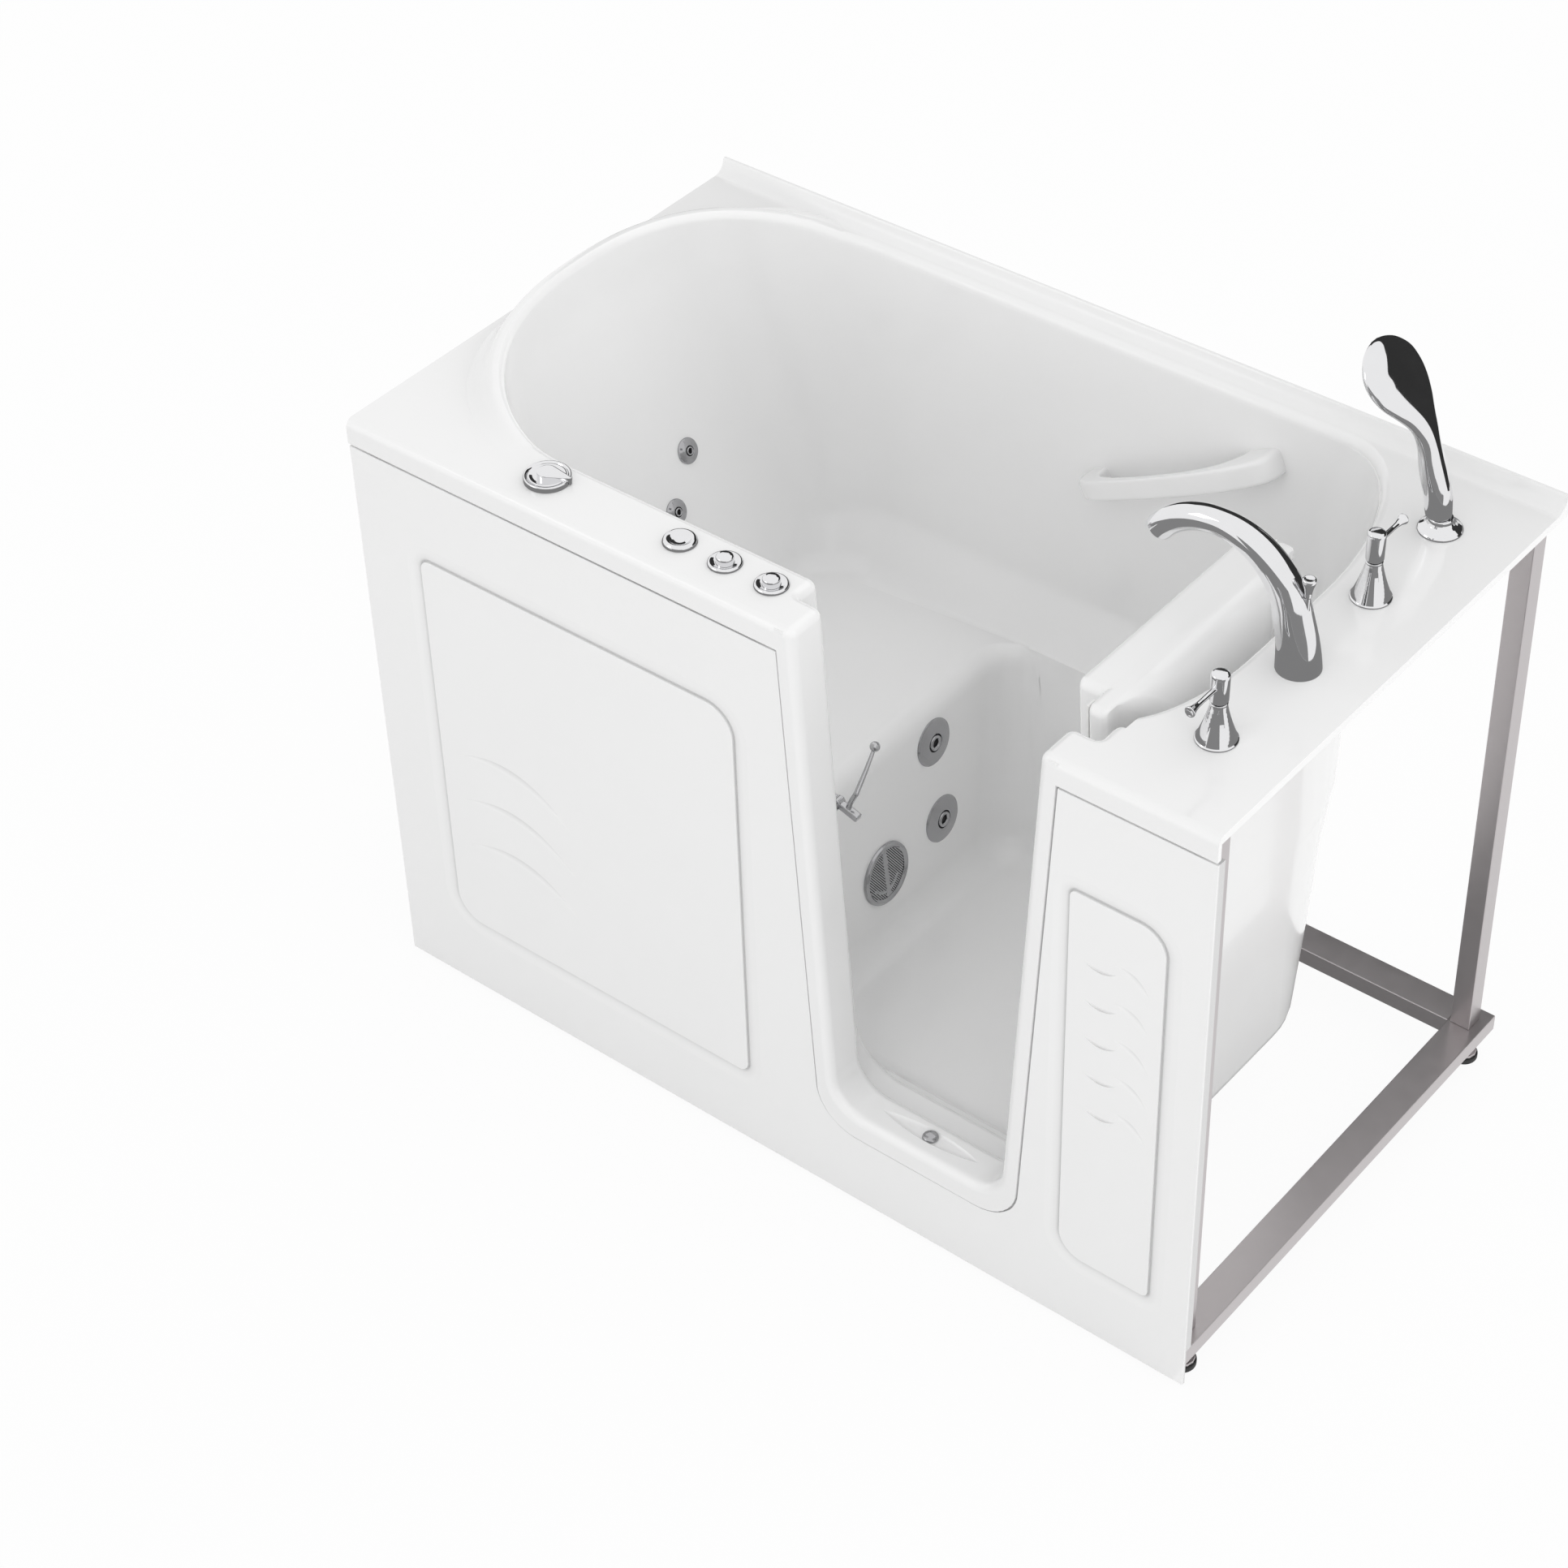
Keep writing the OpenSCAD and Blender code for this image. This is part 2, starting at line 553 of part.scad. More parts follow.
// The rod leaves the arm upwards and bends away from the wall to its ball
rod_r = 3.6;
ball_r = 7;
rod_foot = [17, 0, 0];
rod_bend = [25, 6, 23.5];
ball_at = [24.6, 46, 74.5];
module run(a, b, r) {
  d = b - a;
  translate(a) rotate([0, acos(d[2] / norm(d)), atan2(d[1], d[0])]) cylinder(norm(d), r = r);
}
module latch_lever() color(chrome) {
  latch_pose() {
    difference() {
      translate([arm_right - arm_l, -6, -5]) cube([arm_l, 12, 10]);
      translate([-pad_at, -20, 0]) rotate([-90, 0, 0]) cylinder(18, r = 3.05);
    }
    rotate([90, 0, 0]) cylinder(12, r = 10, center = true);
    translate([0, -22, 0]) rotate([-90, 0, 0]) cylinder(20, r = spindle_r);
  }
  latch_place() {
    run(rod_foot, rod_bend, rod_r);
    translate(rod_bend) sphere(rod_r + 0.6);
    run(rod_bend, ball_at - 4 * (ball_at - rod_bend) / norm(ball_at - rod_bend), rod_r);
  }
}
module latch_ball() color(chrome) latch_place() difference() {
  translate(ball_at) sphere(ball_r);
  run(rod_bend, ball_at - 3.98 * (ball_at - rod_bend) / norm(ball_at - rod_bend), rod_r + 0.02);
}
pad_tip = -288.7;
module latch_pad() color(rubber) latch_pose() translate([-pad_at, 0, 0]) {
  translate([0, pad_tip - arm_y, 0]) rotate([-90, 0, 0]) cylinder(arm_y - 6 - pad_tip, r = 7);
  translate([0, -8, 0]) rotate([-90, 0, 0]) cylinder(6, r = 3);
}

// ---- taps, spout and shower -----------------------------------------------------------
// Round sweep through rings [centre x, height, radius, tilt from level]
module bent_tube(rings, sides) {
  m = len(rings);
  points = [for (r = rings) for (i = [0:sides - 1]) let (a = 360 * i / sides, u = r[2] * cos(a))
    [r[0] + u * cos(r[3]), r[2] * sin(a), r[1] + u * sin(r[3])]];
  skin = [for (k = [0:m - 2]) for (i = [0:sides - 1]) let (a = k * sides + i, b = k * sides + (i + 1) % sides)
    each [[a, b + sides, b], [a, a + sides, b + sides]]];
  polyhedron(points, concat(skin, [[for (i = [0:sides - 1]) i], [for (i = [sides - 1:-1:0]) (m - 1) * sides + i]]));
}
bow_x = -118;
bow_z = 49;
function spout_radius(a) = a < 90 ? 15.5 + (spout_r - 19) * (90 - a) / 82 : 15.5 - 2 * (a - 90) / 54;
spout_rings = concat(
  [[0, 0, spout_r, 0], [-1.5, 20, spout_r - 1, 3], [-5, 42, spout_r - 2.5, 6]],
  [for (k = [0:10]) let (a = 9 + 135 * k / 10)
    [bow_x + spout_bow * cos(a), bow_z + spout_bow * sin(a), spout_radius(a), a]]);
diverter_x = 5;
knob_travel = 12;
module spout() color(chrome) translate(spout_foot) difference() {
  bent_tube(spout_rings, 24);
  translate([diverter_x, 0, 70]) cylinder(60, r = 3.05);
  end = spout_rings[len(spout_rings) - 1];
  translate([end[0], 0, end[1]]) rotate([0, -end[3], 0]) cylinder(8, r = 10, center = true);
}
module spout_tail() color(chrome) translate(spout_foot) {
  translate([0, 0, -60]) cylinder(60, r = 12);
  translate([hot[0] - spout_foot[0], -tee_l, outlet_z]) rotate([-90, 0, 0]) cylinder(2 * tee_l, r = 10);
  translate([0, 0, -shell_t - 10]) difference() {
    cylinder(10, r = 20, $fn = 6);
    translate([0, 0, -1]) cylinder(12, r = 12);
  }
}
knob_low = 106;
module diverter_knob() color(chrome) translate(spout_foot) translate([diverter_x, 0, 0]) {
  translate([0, 0, 74]) cylinder(knob_low - 74, r = 3);
  translate([0, 0, knob_low]) rotate_extrude() polygon([
    [0, 0], [4.4, 0], [4.6, 8], [6, 15], [8.2, 20], [8.6, 22], [8.2, 24.5], [6.5, 26], [3, 26.8], [0, 27]]);
}

// Flared base of a tap, bored for its spindle
module tap_cone(at) color(chrome) translate(at) rotate_extrude() polygon([
  [4.05, 0], [26, 0], [26, 4], [23.5, 10], [19.5, 20], [16, 30], [13.2, 40], [11, 50], [10.2, 54], [9.4, 55], [4.05, 55]]);
module hot_tap_cone() tap_cone(hot);
module cold_tap_cone() tap_cone(cold);

// Hub with a lever; side is the way the lever points along Y
hub_z = 56.4;
hub_h = 41;
module tap_handle(at, side) color(chrome) translate(at) rotate([0, 0, side * lever_turn]) {
  translate([0, 0, hub_z]) rotate_extrude() polygon([
    [0, 0], [10.4, 0], [11.6, 1.5], [11.6, hub_h - 3], [10.6, hub_h - 0.8], [8.5, hub_h], [0, hub_h]]);
  translate([0, 0, 20]) cylinder(hub_z - 20, r = 4);
  translate([0, 0, hub_z + 23]) rotate([-side * 90, 0, 0]) {
    cylinder(lever_l - 12, r = 3.4);
    translate([0, 0, lever_l - 16]) cylinder(12, r1 = 3.4, r2 = 6.4);
    translate([0, 0, lever_l - 4]) cylinder(3, r1 = 6.4, r2 = 7.2);
    translate([0, 0, lever_l - 1]) cylinder(1.5, r1 = 7.2, r2 = 6.2);
  }
}
module hot_handle() tap_handle(hot, -1);
module cold_handle() tap_handle(cold, 1);

// Valve under the deck: shank through the deck, nut, body and inlet tail
inlet_r = 10.5;
inlet_l = 30;
outlet_z = -52;
outlet_l = 30;
module tap_valve(at, side) color([0.78, 0.62, 0.30]) translate(at) difference() {
  union() {
    translate([0, 0, -40]) cylinder(40, r = 12);
    translate([0, 0, -shell_t - 9]) cylinder(9, r = 19, $fn = 6);
    translate([0, 0, -66]) cylinder(27, r = 16);
    translate([0, 0, -66 - inlet_l]) cylinder(inlet_l + 1, r = inlet_r);
    translate([0, 0, outlet_z]) rotate([-side * 90, 0, 0]) cylinder(outlet_l, r = 9);
  }
  translate([0, 0, -30]) cylinder(40, r = 4.5);
}
module hot_valve() tap_valve(hot, 1);
module cold_valve() tap_valve(cold, -1);

// Copper pipes from both valves to the tee under the spout
tee_l = 24;
module tap_pipes() color([0.72, 0.45, 0.30]) {
  run(hot + [0, outlet_l, outlet_z], spout_foot + [hot[0] - spout_foot[0], -tee_l, outlet_z], 7.5);
  run(spout_foot + [cold[0] - spout_foot[0], tee_l, outlet_z], cold + [0, -outlet_l, outlet_z], 7.5);
}

socket_r = 9;
module shower_cradle() color(chrome) translate(shower) {
  rotate_extrude() polygon([
    [socket_r + 0.3, 0], [28.5, 0], [28.5, 3], [26, 6], [21, 8.5], [17, 12], [15.3, 16], [15, 20], [socket_r + 0.3, 20]]);
  translate([0, 0, -34]) difference() {
    cylinder(34, r = 13);
    translate([0, 0, 9]) cylinder(30, r = socket_r + 0.3);
  }
  translate([0, 0, -shell_t - 8]) difference() {
    cylinder(8, r = 21, $fn = 6);
    translate([0, 0, -1]) cylinder(10, r = 13);
  }
}

// Wand and head in one: rings [x, height, half width, half thickness, tilt from level]
wand = [
  [0, 20.05, 15, 15, 0], [0, 24, 15.6, 15.6, 0], [-3, 45, 16.5, 16, 6], [-8, 68, 16.5, 15, 12],
  [-15, 90, 15.5, 13, 18], [-24, 110, 16, 11, 24], [-34, 128, 22, 10, 32], [-46, 146, 33, 11, 38],
  [-60, 164, 43, 13, 41], [-76, 183, 50, 15, 42], [-92, 201, 51, 14.5, 42], [-107, 218, 45, 12, 42],
  [-119, 231, 32, 8.5, 42], [-126, 239, 17, 5, 42], [-129, 242.5, 5, 2, 42]];
wand_sides = 20;
module wand_body() {
  m = len(wand);
  points = [for (r = wand) for (i = [0:wand_sides - 1]) let (a = 360 * i / wand_sides, u = r[3] * cos(a))
    [r[0] + u * cos(r[4]), r[2] * sin(a), r[1] + u * sin(r[4])]];
  skin = [for (k = [0:m - 2]) for (i = [0:wand_sides - 1])
    let (a = k * wand_sides + i, b = k * wand_sides + (i + 1) % wand_sides)
    each [[a, b + wand_sides, b], [a, a + wand_sides, b + wand_sides]]];
  polyhedron(points, concat(skin,
    [[for (i = [0:wand_sides - 1]) i], [for (i = [wand_sides - 1:-1:0]) (m - 1) * wand_sides + i]]));
}
face_r = 40;
module face_pose() translate([-84, 0, 192]) rotate([0, -132, 0]) children();
module hand_shower() color(chrome) translate(shower) {
  difference() {
    wand_body();
    face_pose() translate([0, 0, 8]) cylinder(30, r = face_r + 0.3);
  }
  translate([0, 0, -15]) cylinder(36, r = socket_r);
}
module spray_face() color(rubber) translate(shower) face_pose() {
  translate([0, 0, 8]) cylinder(3, r = face_r);
  for (r = [12, 22, 32]) for (i = [0:r / 2 - 1]) rotate(i * 720 / r)
    translate([r, 0, 10]) cylinder(2.2, r1 = 1.4, r2 = 1);
}

// ---- deck controls ---------------------------------------------------------------------
dial_at = [dial_x, deck_row, deck_h];
module air_dial_base() color(chrome) translate(dial_at) rotate_extrude() polygon([
  [5.05, 0], [30, 0], [31, 1], [31, 4], [29.5, 5.5], [5.05, 5.5]]);
module air_dial() color(chrome) translate(dial_at) {
  translate([0, 0, 5.9]) {
    cylinder(3, r = 25);
    translate([0, 0, 3]) cylinder(2, r1 = 25, r2 = 23);
    rotate(15) linear_extrude(8) hull() {
      circle(14);
      translate([30, 0]) circle(2.5);
    }
  }
  translate([0, 0, -12]) cylinder(19, r = 5);
}
module air_valve() color(pvc) translate(dial_at) difference() {
  union() {
    translate([0, 0, -50]) cylinder(50, r = 14.5);
    translate([0, 0, -shell_t - 8]) cylinder(8, r = 20, $fn = 6);
    translate([0, 0, -40]) rotate([90, 0, 0]) cylinder(26, r = 8, center = true);
  }
  translate([0, 0, -14]) cylinder(20, r = 5.3);
}
module deck_cap() color(chrome) translate([cap_x, deck_row, deck_h]) rotate_extrude() polygon([
  [0, 0], [22.4, 0], [22.4, 2], [21, 5], [17.5, 7.5], [14.5, 8], [12.5, 6.5], [9, 4.5], [0, 3.8]]);
bezel_r = 22.3;
button_r = 11.6;
module button_bezels() color(chrome)
  for (x = button_x) translate([x, deck_row, deck_h]) rotate_extrude() polygon([
    [button_r + 0.4, 0], [bezel_r, 0], [bezel_r, 2], [20.5, 5], [17, 7], [14, 7.6], [button_r + 0.4, 6.8]]);
button_travel = 4;
module push_button(x) color(chrome) translate([x, deck_row, deck_h]) rotate_extrude() polygon([
  [0, -4], [8, -4], [8, -2], [button_r, -2], [button_r, 11], [10.6, 12.2], [8, 12.8], [0, 13]]);
module pump_button() push_button(button_x[0]);
module blower_button() push_button(button_x[1]);
module button_bellows() color(rubber)
  for (x = button_x) translate([x, deck_row, deck_h]) difference() {
    union() {
      translate([0, 0, -42]) cylinder(42, r = 14.5);
      translate([0, 0, -shell_t - 8]) cylinder(8, r = 19, $fn = 6);
      translate([0, 0, -54]) cylinder(13, r = 4);
    }
    translate([0, 0, -12]) cylinder(20, r = 12.2);
  }

// ---- jets, suction and drains ---------------------------------------------------------------
// Flange with an eyeball nozzle; its back lies on the wall's seat
module jet_face(d, depth) translate([0, 0, -depth]) rotate_extrude() polygon([
  [0.08 * d, -2], [0.22 * d, -2], [0.22 * d, 0], [0.5 * d, 0], [0.5 * d, 2.5], [0.44 * d, 5.5], [0.34 * d, 6.5], [0.31 * d, 4],
  [0.24 * d, 3.5], [0.21 * d, 6], [0.15 * d, 8], [0.1 * d, 8], [0.08 * d, 5]]);
module riser_jets() color(chrome) for (p = riser_jet_at) on_riser(p[0], p[1]) jet_face(riser_jet_d, 1.5);
module back_jets() color(chrome) for (p = back_jet_at) on_back_rest(p[0], p[1]) jet_face(back_jet_d, seat_deep);
module jet_bodies() color(pvc) {
  for (p = riser_jet_at) on_riser(p[0], p[1]) translate([0, 0, -46]) difference() {
    cylinder(42.4, r = 20.6);
    translate([0, 0, 8]) cylinder(50, r = 16.5);
  }
  for (p = back_jet_at) on_back_rest(p[0], p[1]) translate([0, 0, -42]) difference() {
    cylinder(36, r = 11);
    translate([0, 0, 6]) cylinder(50, r = 8.6);
  }
}

// Cover with slanting slots across a dished plate inside a polished ring
slot_pitch = 5;
slot_w = 2;
module suction_grille() color(chrome) on_riser(suction_at[0], suction_at[1]) translate([0, 0, -1.5]) {
  rotate_extrude() polygon([
    [grille_d / 2 - 9, 0], [grille_d / 2, 0], [grille_d / 2, 3], [grille_d / 2 - 3, 7], [grille_d / 2 - 7, 8],
    [grille_d / 2 - 9, 6]]);
  difference() {
    cylinder(4, r = grille_d / 2 - 8.5);
    intersection() {
      translate([0, 0, -1]) cylinder(6, r = grille_d / 2 - 12);
      rotate(45) for (k = [-7:7]) translate([k * slot_pitch - slot_w / 2, -60, -1]) for (s = [0, 66]) translate([0, s, 0]) cube([slot_w, 54, 6]);
    }
  }
}
module suction_body() color(pvc) on_riser(suction_at[0], suction_at[1]) translate([0, 0, -60]) difference() {
  cylinder(58.5, r = 31.4);
  translate([0, 0, 8]) cylinder(60, r = 27);
}

module sill_drain_cap() color(chrome) translate([door_x, sill_y, sill_h - 3]) {
  rotate_extrude() polygon([[0, 0], [11, 0], [11, 2], [9, 4.5], [5, 6], [0, 6.4]]);
  translate([0, 0, -20]) cylinder(20, r = 6.2);
}
module floor_drain() color(chrome) translate([drain_at[0], drain_at[1], floor_h - 3]) {
  difference() {
    rotate_extrude() polygon([[0, 0], [36, 0], [36, 1.5], [33, 3.5], [22, 3], [20, 1.5], [0, 1.5]]);
    for (r = [8, 15]) for (i = [0:r / 2]) rotate(i * 360 / (floor(r / 2) + 1)) translate([r, 0, -1]) cylinder(6, r = 1.8);
  }
}
tail_r = 19;
tail_low = 30;
module drain_tail() color(pvc) translate([drain_at[0], drain_at[1], 0]) difference() {
  union() {
    translate([0, 0, tail_low]) cylinder(floor_h - 3 - tail_low, r = tail_r);
    translate([0, 0, floor_h - 3 - 4]) cylinder(4, r = 22.4);
    translate([0, 0, floor_h - shell_t - 12]) cylinder(12, r = 30, $fn = 8);
  }
  translate([0, 0, tail_low - 1]) cylinder(floor_h, r = tail_r - 3);
}

// ---- grab bar --------------------------------------------------------------------------------
grab_at = [150, 794];
grab_tilt = 30;
grab_h = 30;
wall_lean = atan(20 / 432);
module grab_bar() color(acrylic)
  translate([grab_at[0], lookup(grab_at[1], back_wall) - 0.05, grab_at[1]]) rotate([-wall_lean, 0, 0])
    rotate([0, -grab_tilt, 0]) translate([0, 0, -grab_h / 2]) linear_extrude(grab_h) difference() {
      hull() {
        for (s = [-1, 1]) {
          translate([s * grab_l / 2 - s * 2, -1]) circle(1);
          translate([s * (grab_l / 2 - 22), -30]) circle(14);
        }
        translate([0, 170]) intersection() {
          circle(226, $fn = 120);
          translate([-90, -240]) square([180, 60]);
        }
      }
      hull() {
        for (s = [-1, 1]) translate([s * (grab_l / 2 - 56), -14]) circle(10);
        for (s = [-1, 1]) translate([s * (grab_l / 2 - 52), 4]) circle(4);
        translate([0, 170]) intersection() {
          circle(202, $fn = 120);
          translate([-80, -210]) square([160, 60]);
        }
      }
    }

// ---- pump set under the seat ----------------------------------------------------------------
tray_t = 4;
tray_top = rail_top + tray_t;
module pump_tray() color(steel) difference() {
  translate([-560, rail_front_y + 2, rail_top]) cube([440, y_back - 4 - rail_front_y, tray_t]);
  for (y = [-260, 270]) translate([-340, y, rail_top - 1]) cylinder(10, r = 30);
}
pump_at = [-254, -35];
pump_z = 205;
module pump_housing() color(rubber) translate([pump_at[0], pump_at[1], pump_z]) {
  rotate([0, 90, 0]) {
    cylinder(50, r = 78, center = true);
    translate([0, 0, 25]) cylinder(30, r = 30);
  }
  translate([0, 60, 0]) cylinder(110, r = 22);
  translate([-25, -60, tray_top - pump_z]) cube([50, 120, pump_z - tray_top - 50]);
}
motor_l = 210;
module pump_motor() color([0.30, 0.32, 0.35]) translate([pump_at[0] - 25, pump_at[1], pump_z]) {
  rotate([0, -90, 0]) {
    cylinder(motor_l, r = 68);
    translate([0, 0, motor_l]) cylinder(14, r1 = 66, r2 = 50);
    for (i = [0:15]) rotate(i * 22.5) translate([66, -1.5, 20]) cube([8, 3, motor_l - 50]);
  }
  for (k = [-60, -170]) translate([k - 15, -50, tray_top - pump_z]) cube([30, 100, pump_z - tray_top - 50]);
  translate([-150, -34, 60]) cube([90, 68, 34]);
}
blower_at = [-440, 240];
module blower() color([0.20, 0.20, 0.22]) translate([blower_at[0], blower_at[1], tray_top]) {
  cylinder(90, r = 85);
  translate([0, 0, 90]) cylinder(60, r = 60);
  translate([0, 0, 150]) cylinder(12, r1 = 60, r2 = 48);
  translate([0, -110, 45]) rotate([-90, 0, 0]) cylinder(60, r = 25);
}
// Suction line to the pump and pressure line to the riser jets: lengths of
// pipe with an upright union at every bend, each second length a little wider
pipe_r = 16;
suction_r = 24;
function riser_point(y, z, depth) =
  [lookup(z, riser_wall) - depth * cos(riser_lean), y, z - depth * sin(riser_lean)];
module pipe_run(path, r) {
  for (i = [0:len(path) - 2]) run(path[i], path[i + 1], r + 0.4 * (i % 2));
  for (i = [1:len(path) - 2]) translate(path[i] - [0, 0, r + 3]) cylinder(2 * r + 6, r = r + 4);
}
module jet_pipes() color(pvc) {
  knee = riser_point(suction_at[0], suction_at[1], 98);
  upper = riser_point(riser_jet_at[0][0], riser_jet_at[0][1], 72);
  low_depth = (lookup(riser_jet_at[1][1], riser_wall) - upper[0]) / cos(riser_lean);
  lower = riser_point(riser_jet_at[1][0], riser_jet_at[1][1], low_depth);
  foot = riser_point(riser_jet_at[1][0], riser_jet_at[1][1], 46.2);
  out = [pump_at[0], pump_at[1] + 60, pump_z + 110];
  pipe_run([riser_point(suction_at[0], suction_at[1], 60.2), knee, [pump_at[0] + 55, knee[1], knee[2]]], suction_r);
  pipe_run([riser_point(riser_jet_at[0][0], riser_jet_at[0][1], 46.2), upper, lower, foot], pipe_r);
  pipe_run([out, out + [0, 0, 28], [out[0], upper[1], out[2] + 28], [upper[0], upper[1], out[2] + 28]], pipe_r - 2);
}

tub_shell();
front_panel();
panel_clips();
rail_front();
rail_back();
rail_seat_end();
rail_tap_end();
cross_bearers();
post_front_left();
post_front_right();
post_back_left();
post_back_right();
foot_stems();
foot_discs();
foot_pads();
door_panel();
door_seal();
door_keeper();
hinge_door_leaves();
hinge_frame_leaves();
hinge_pins();
latch_base();
latch_lever();
latch_ball();
latch_pad();
spout();
spout_tail();
diverter_knob();
hot_tap_cone();
cold_tap_cone();
hot_handle();
cold_handle();
hot_valve();
cold_valve();
tap_pipes();
shower_cradle();
hand_shower();
spray_face();
air_dial_base();
air_dial();
air_valve();
deck_cap();
button_bezels();
pump_button();
blower_button();
button_bellows();
riser_jets();
back_jets();
jet_bodies();
suction_grille();
suction_body();
sill_drain_cap();
floor_drain();
drain_tail();
grab_bar();
pump_tray();
pump_housing();
pump_motor();
blower();
jet_pipes();
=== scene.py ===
# %% [markdown]
# # A walk-in bathtub with a side door
# The real object is a glossy white moulded tub on a steel floor frame, with
# chrome taps on its deck and a door that swings inwards. The CAD model gives
# every solid its place. This lesson gives each of them its finish, and builds
# the pieces whose soft edges and curves the CAD solids only rough out.

# %% Read the CAD frame
import json
import math

import bpy
from mathutils import Euler, Matrix, Vector


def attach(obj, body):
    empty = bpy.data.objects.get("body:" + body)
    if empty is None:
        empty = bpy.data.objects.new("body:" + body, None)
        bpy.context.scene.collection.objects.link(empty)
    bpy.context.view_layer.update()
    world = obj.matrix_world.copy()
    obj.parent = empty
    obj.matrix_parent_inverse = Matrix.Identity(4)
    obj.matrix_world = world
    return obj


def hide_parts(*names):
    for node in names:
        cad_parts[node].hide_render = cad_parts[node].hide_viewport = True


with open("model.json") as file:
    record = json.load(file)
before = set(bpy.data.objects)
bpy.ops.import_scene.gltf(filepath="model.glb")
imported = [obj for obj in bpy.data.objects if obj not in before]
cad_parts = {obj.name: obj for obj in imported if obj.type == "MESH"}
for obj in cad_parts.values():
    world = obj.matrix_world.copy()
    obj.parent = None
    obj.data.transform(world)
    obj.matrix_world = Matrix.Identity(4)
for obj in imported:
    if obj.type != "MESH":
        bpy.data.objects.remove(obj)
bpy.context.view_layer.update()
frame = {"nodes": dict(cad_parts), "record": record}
record = frame["record"]

# %% [markdown]
# ## Camera
# The picture was taken from in front, to the right and well above, with a long
# lens. The direction is written as a turn about the vertical, a height angle
# and a slight roll of the camera in its own axis.

# %% Camera
turn, height, roll = math.radians(40.305), math.radians(40.726), math.radians(-2.076)
aim = Euler((math.pi / 2 - height, 0, turn)).to_matrix() @ Matrix.Rotation(roll, 3, "Z")
bpy.ops.object.camera_add(location=(2.2083, -2.9341, 3.5698), rotation=aim.to_euler())
camera = bpy.context.object
camera.name = "studio_camera"
camera.data.sensor_width = 36
camera.data.lens = 81.99
camera.data.clip_end = 100
bpy.context.scene.camera = camera
print("camera at", tuple(camera.location), "lens", round(camera.data.lens, 1), "mm")

# %% [markdown]
# ## Studio
# White ground and white air, brightest at the horizon, and no lamp. The white
# that the camera sees comes from the ray type, so it adds no light to the tub.

# %% Tools for node trees
def start_tree(tree, keep=False):
    """Empties a node tree unless told to keep it; returns functions that add a node and that join two sockets."""
    if not keep:
        tree.nodes.clear()

    def add(kind, **values):
        node = tree.nodes.new("ShaderNode" + kind)
        for key, value in values.items():
            if key in node.inputs:
                node.inputs[key].default_value = value
            else:
                setattr(node, key, value)
        return node

    return add, tree.links.new


def new_material(name):
    """A material with an empty node tree, and the two functions that fill it."""
    material = bpy.data.materials.new(name)
    material.use_nodes = True
    return (material, *start_tree(material.node_tree))


def reckon(add, link, operation, *values):
    """A Math node on sockets and numbers; returns its result."""
    node = add("Math", operation=operation)
    for place, value in enumerate(values):
        if isinstance(value, (int, float)):
            node.inputs[place].default_value = value
        else:
            link(value, node.inputs[place])
    return node.outputs[0]


def split_by_ray(add, link, lit, seen, output, share=1.0):
    """Puts out one shader for light, and a share of another for rays from the camera, a mirror or glass."""
    path = add("LightPath")
    camera, mirror, glass = (path.outputs["Is %s Ray" % kind] for kind in ("Camera", "Glossy", "Transmission"))
    direct = reckon(add, link, "MAXIMUM", reckon(add, link, "MAXIMUM", camera, mirror), glass)
    both = add("MixShader")
    link(reckon(add, link, "MULTIPLY", direct, share), both.inputs[0])
    link(lit.outputs[0], both.inputs[1])
    link(seen.outputs[0], both.inputs[2])
    link(both.outputs[0], add(output).inputs[0])


# %% White air
# strength of the air: at the horizon, then its change towards +x, -x, -y, the zenith, and the zenith squared
HORIZON, TO_TAPS, TO_SEAT, TO_FRONT, TO_ZENITH, ZENITH_AGAIN = 2.15, -0.47, -0.99, -0.24, -1.66, 0.64
scene = bpy.context.scene
scene.view_settings.view_transform = "Standard"
if scene.world is None:
    scene.world = bpy.data.worlds.new("white_air")
scene.world.use_nodes = True
add, link = start_tree(scene.world.node_tree)
way = add("SeparateXYZ")
link(add("TexCoord").outputs["Generated"], way.inputs[0])


def towards(axis, sign):
    """How far a ray points one way along an axis."""
    return reckon(add, link, "MAXIMUM", reckon(add, link, "MULTIPLY", way.outputs[axis], sign), 0.0)


up = towards(2, 1.0)
total = HORIZON
for change, side in ((TO_TAPS, towards(0, 1.0)), (TO_SEAT, towards(0, -1.0)), (TO_FRONT, towards(1, -1.0)),
                     (TO_ZENITH, up), (ZENITH_AGAIN, reckon(add, link, "MULTIPLY", up, up))):
    total = reckon(add, link, "ADD", total, reckon(add, link, "MULTIPLY", side, change))
air = add("Background", Color=(1, 1, 1, 1))
link(total, air.inputs["Strength"])
split_by_ray(add, link, air, add("Background", Color=(1, 1, 1, 1), Strength=1.0), "OutputWorld")
print("world: air", HORIZON, "at the horizon,", round(HORIZON + TO_ZENITH + ZENITH_AGAIN, 2), "overhead")

# %% Pale ground
PAPER, SEEN_WHITE = 0.85, 0.93  # the ground's tone in the light, and how far the eye sees it as plain white


def stage_card(name, color, shine, share=1.0):
    """A studio material: matt to the light, and an even tone to the eye and to mirrors."""
    material, add, link = new_material(name)
    split_by_ray(add, link, add("BsdfDiffuse", Color=(color, color, color, 1)),
                 add("Emission", Color=(1, 1, 1, 1), Strength=shine), "OutputMaterial", share)
    return material


bpy.ops.mesh.primitive_plane_add(size=30, location=(0, 0, -0.0005))
ground = bpy.context.object
ground.name = "studio_ground"
ground.data.materials.append(stage_card("ground_paper", PAPER, 1.0, SEEN_WHITE))
print("ground:", ground.name)

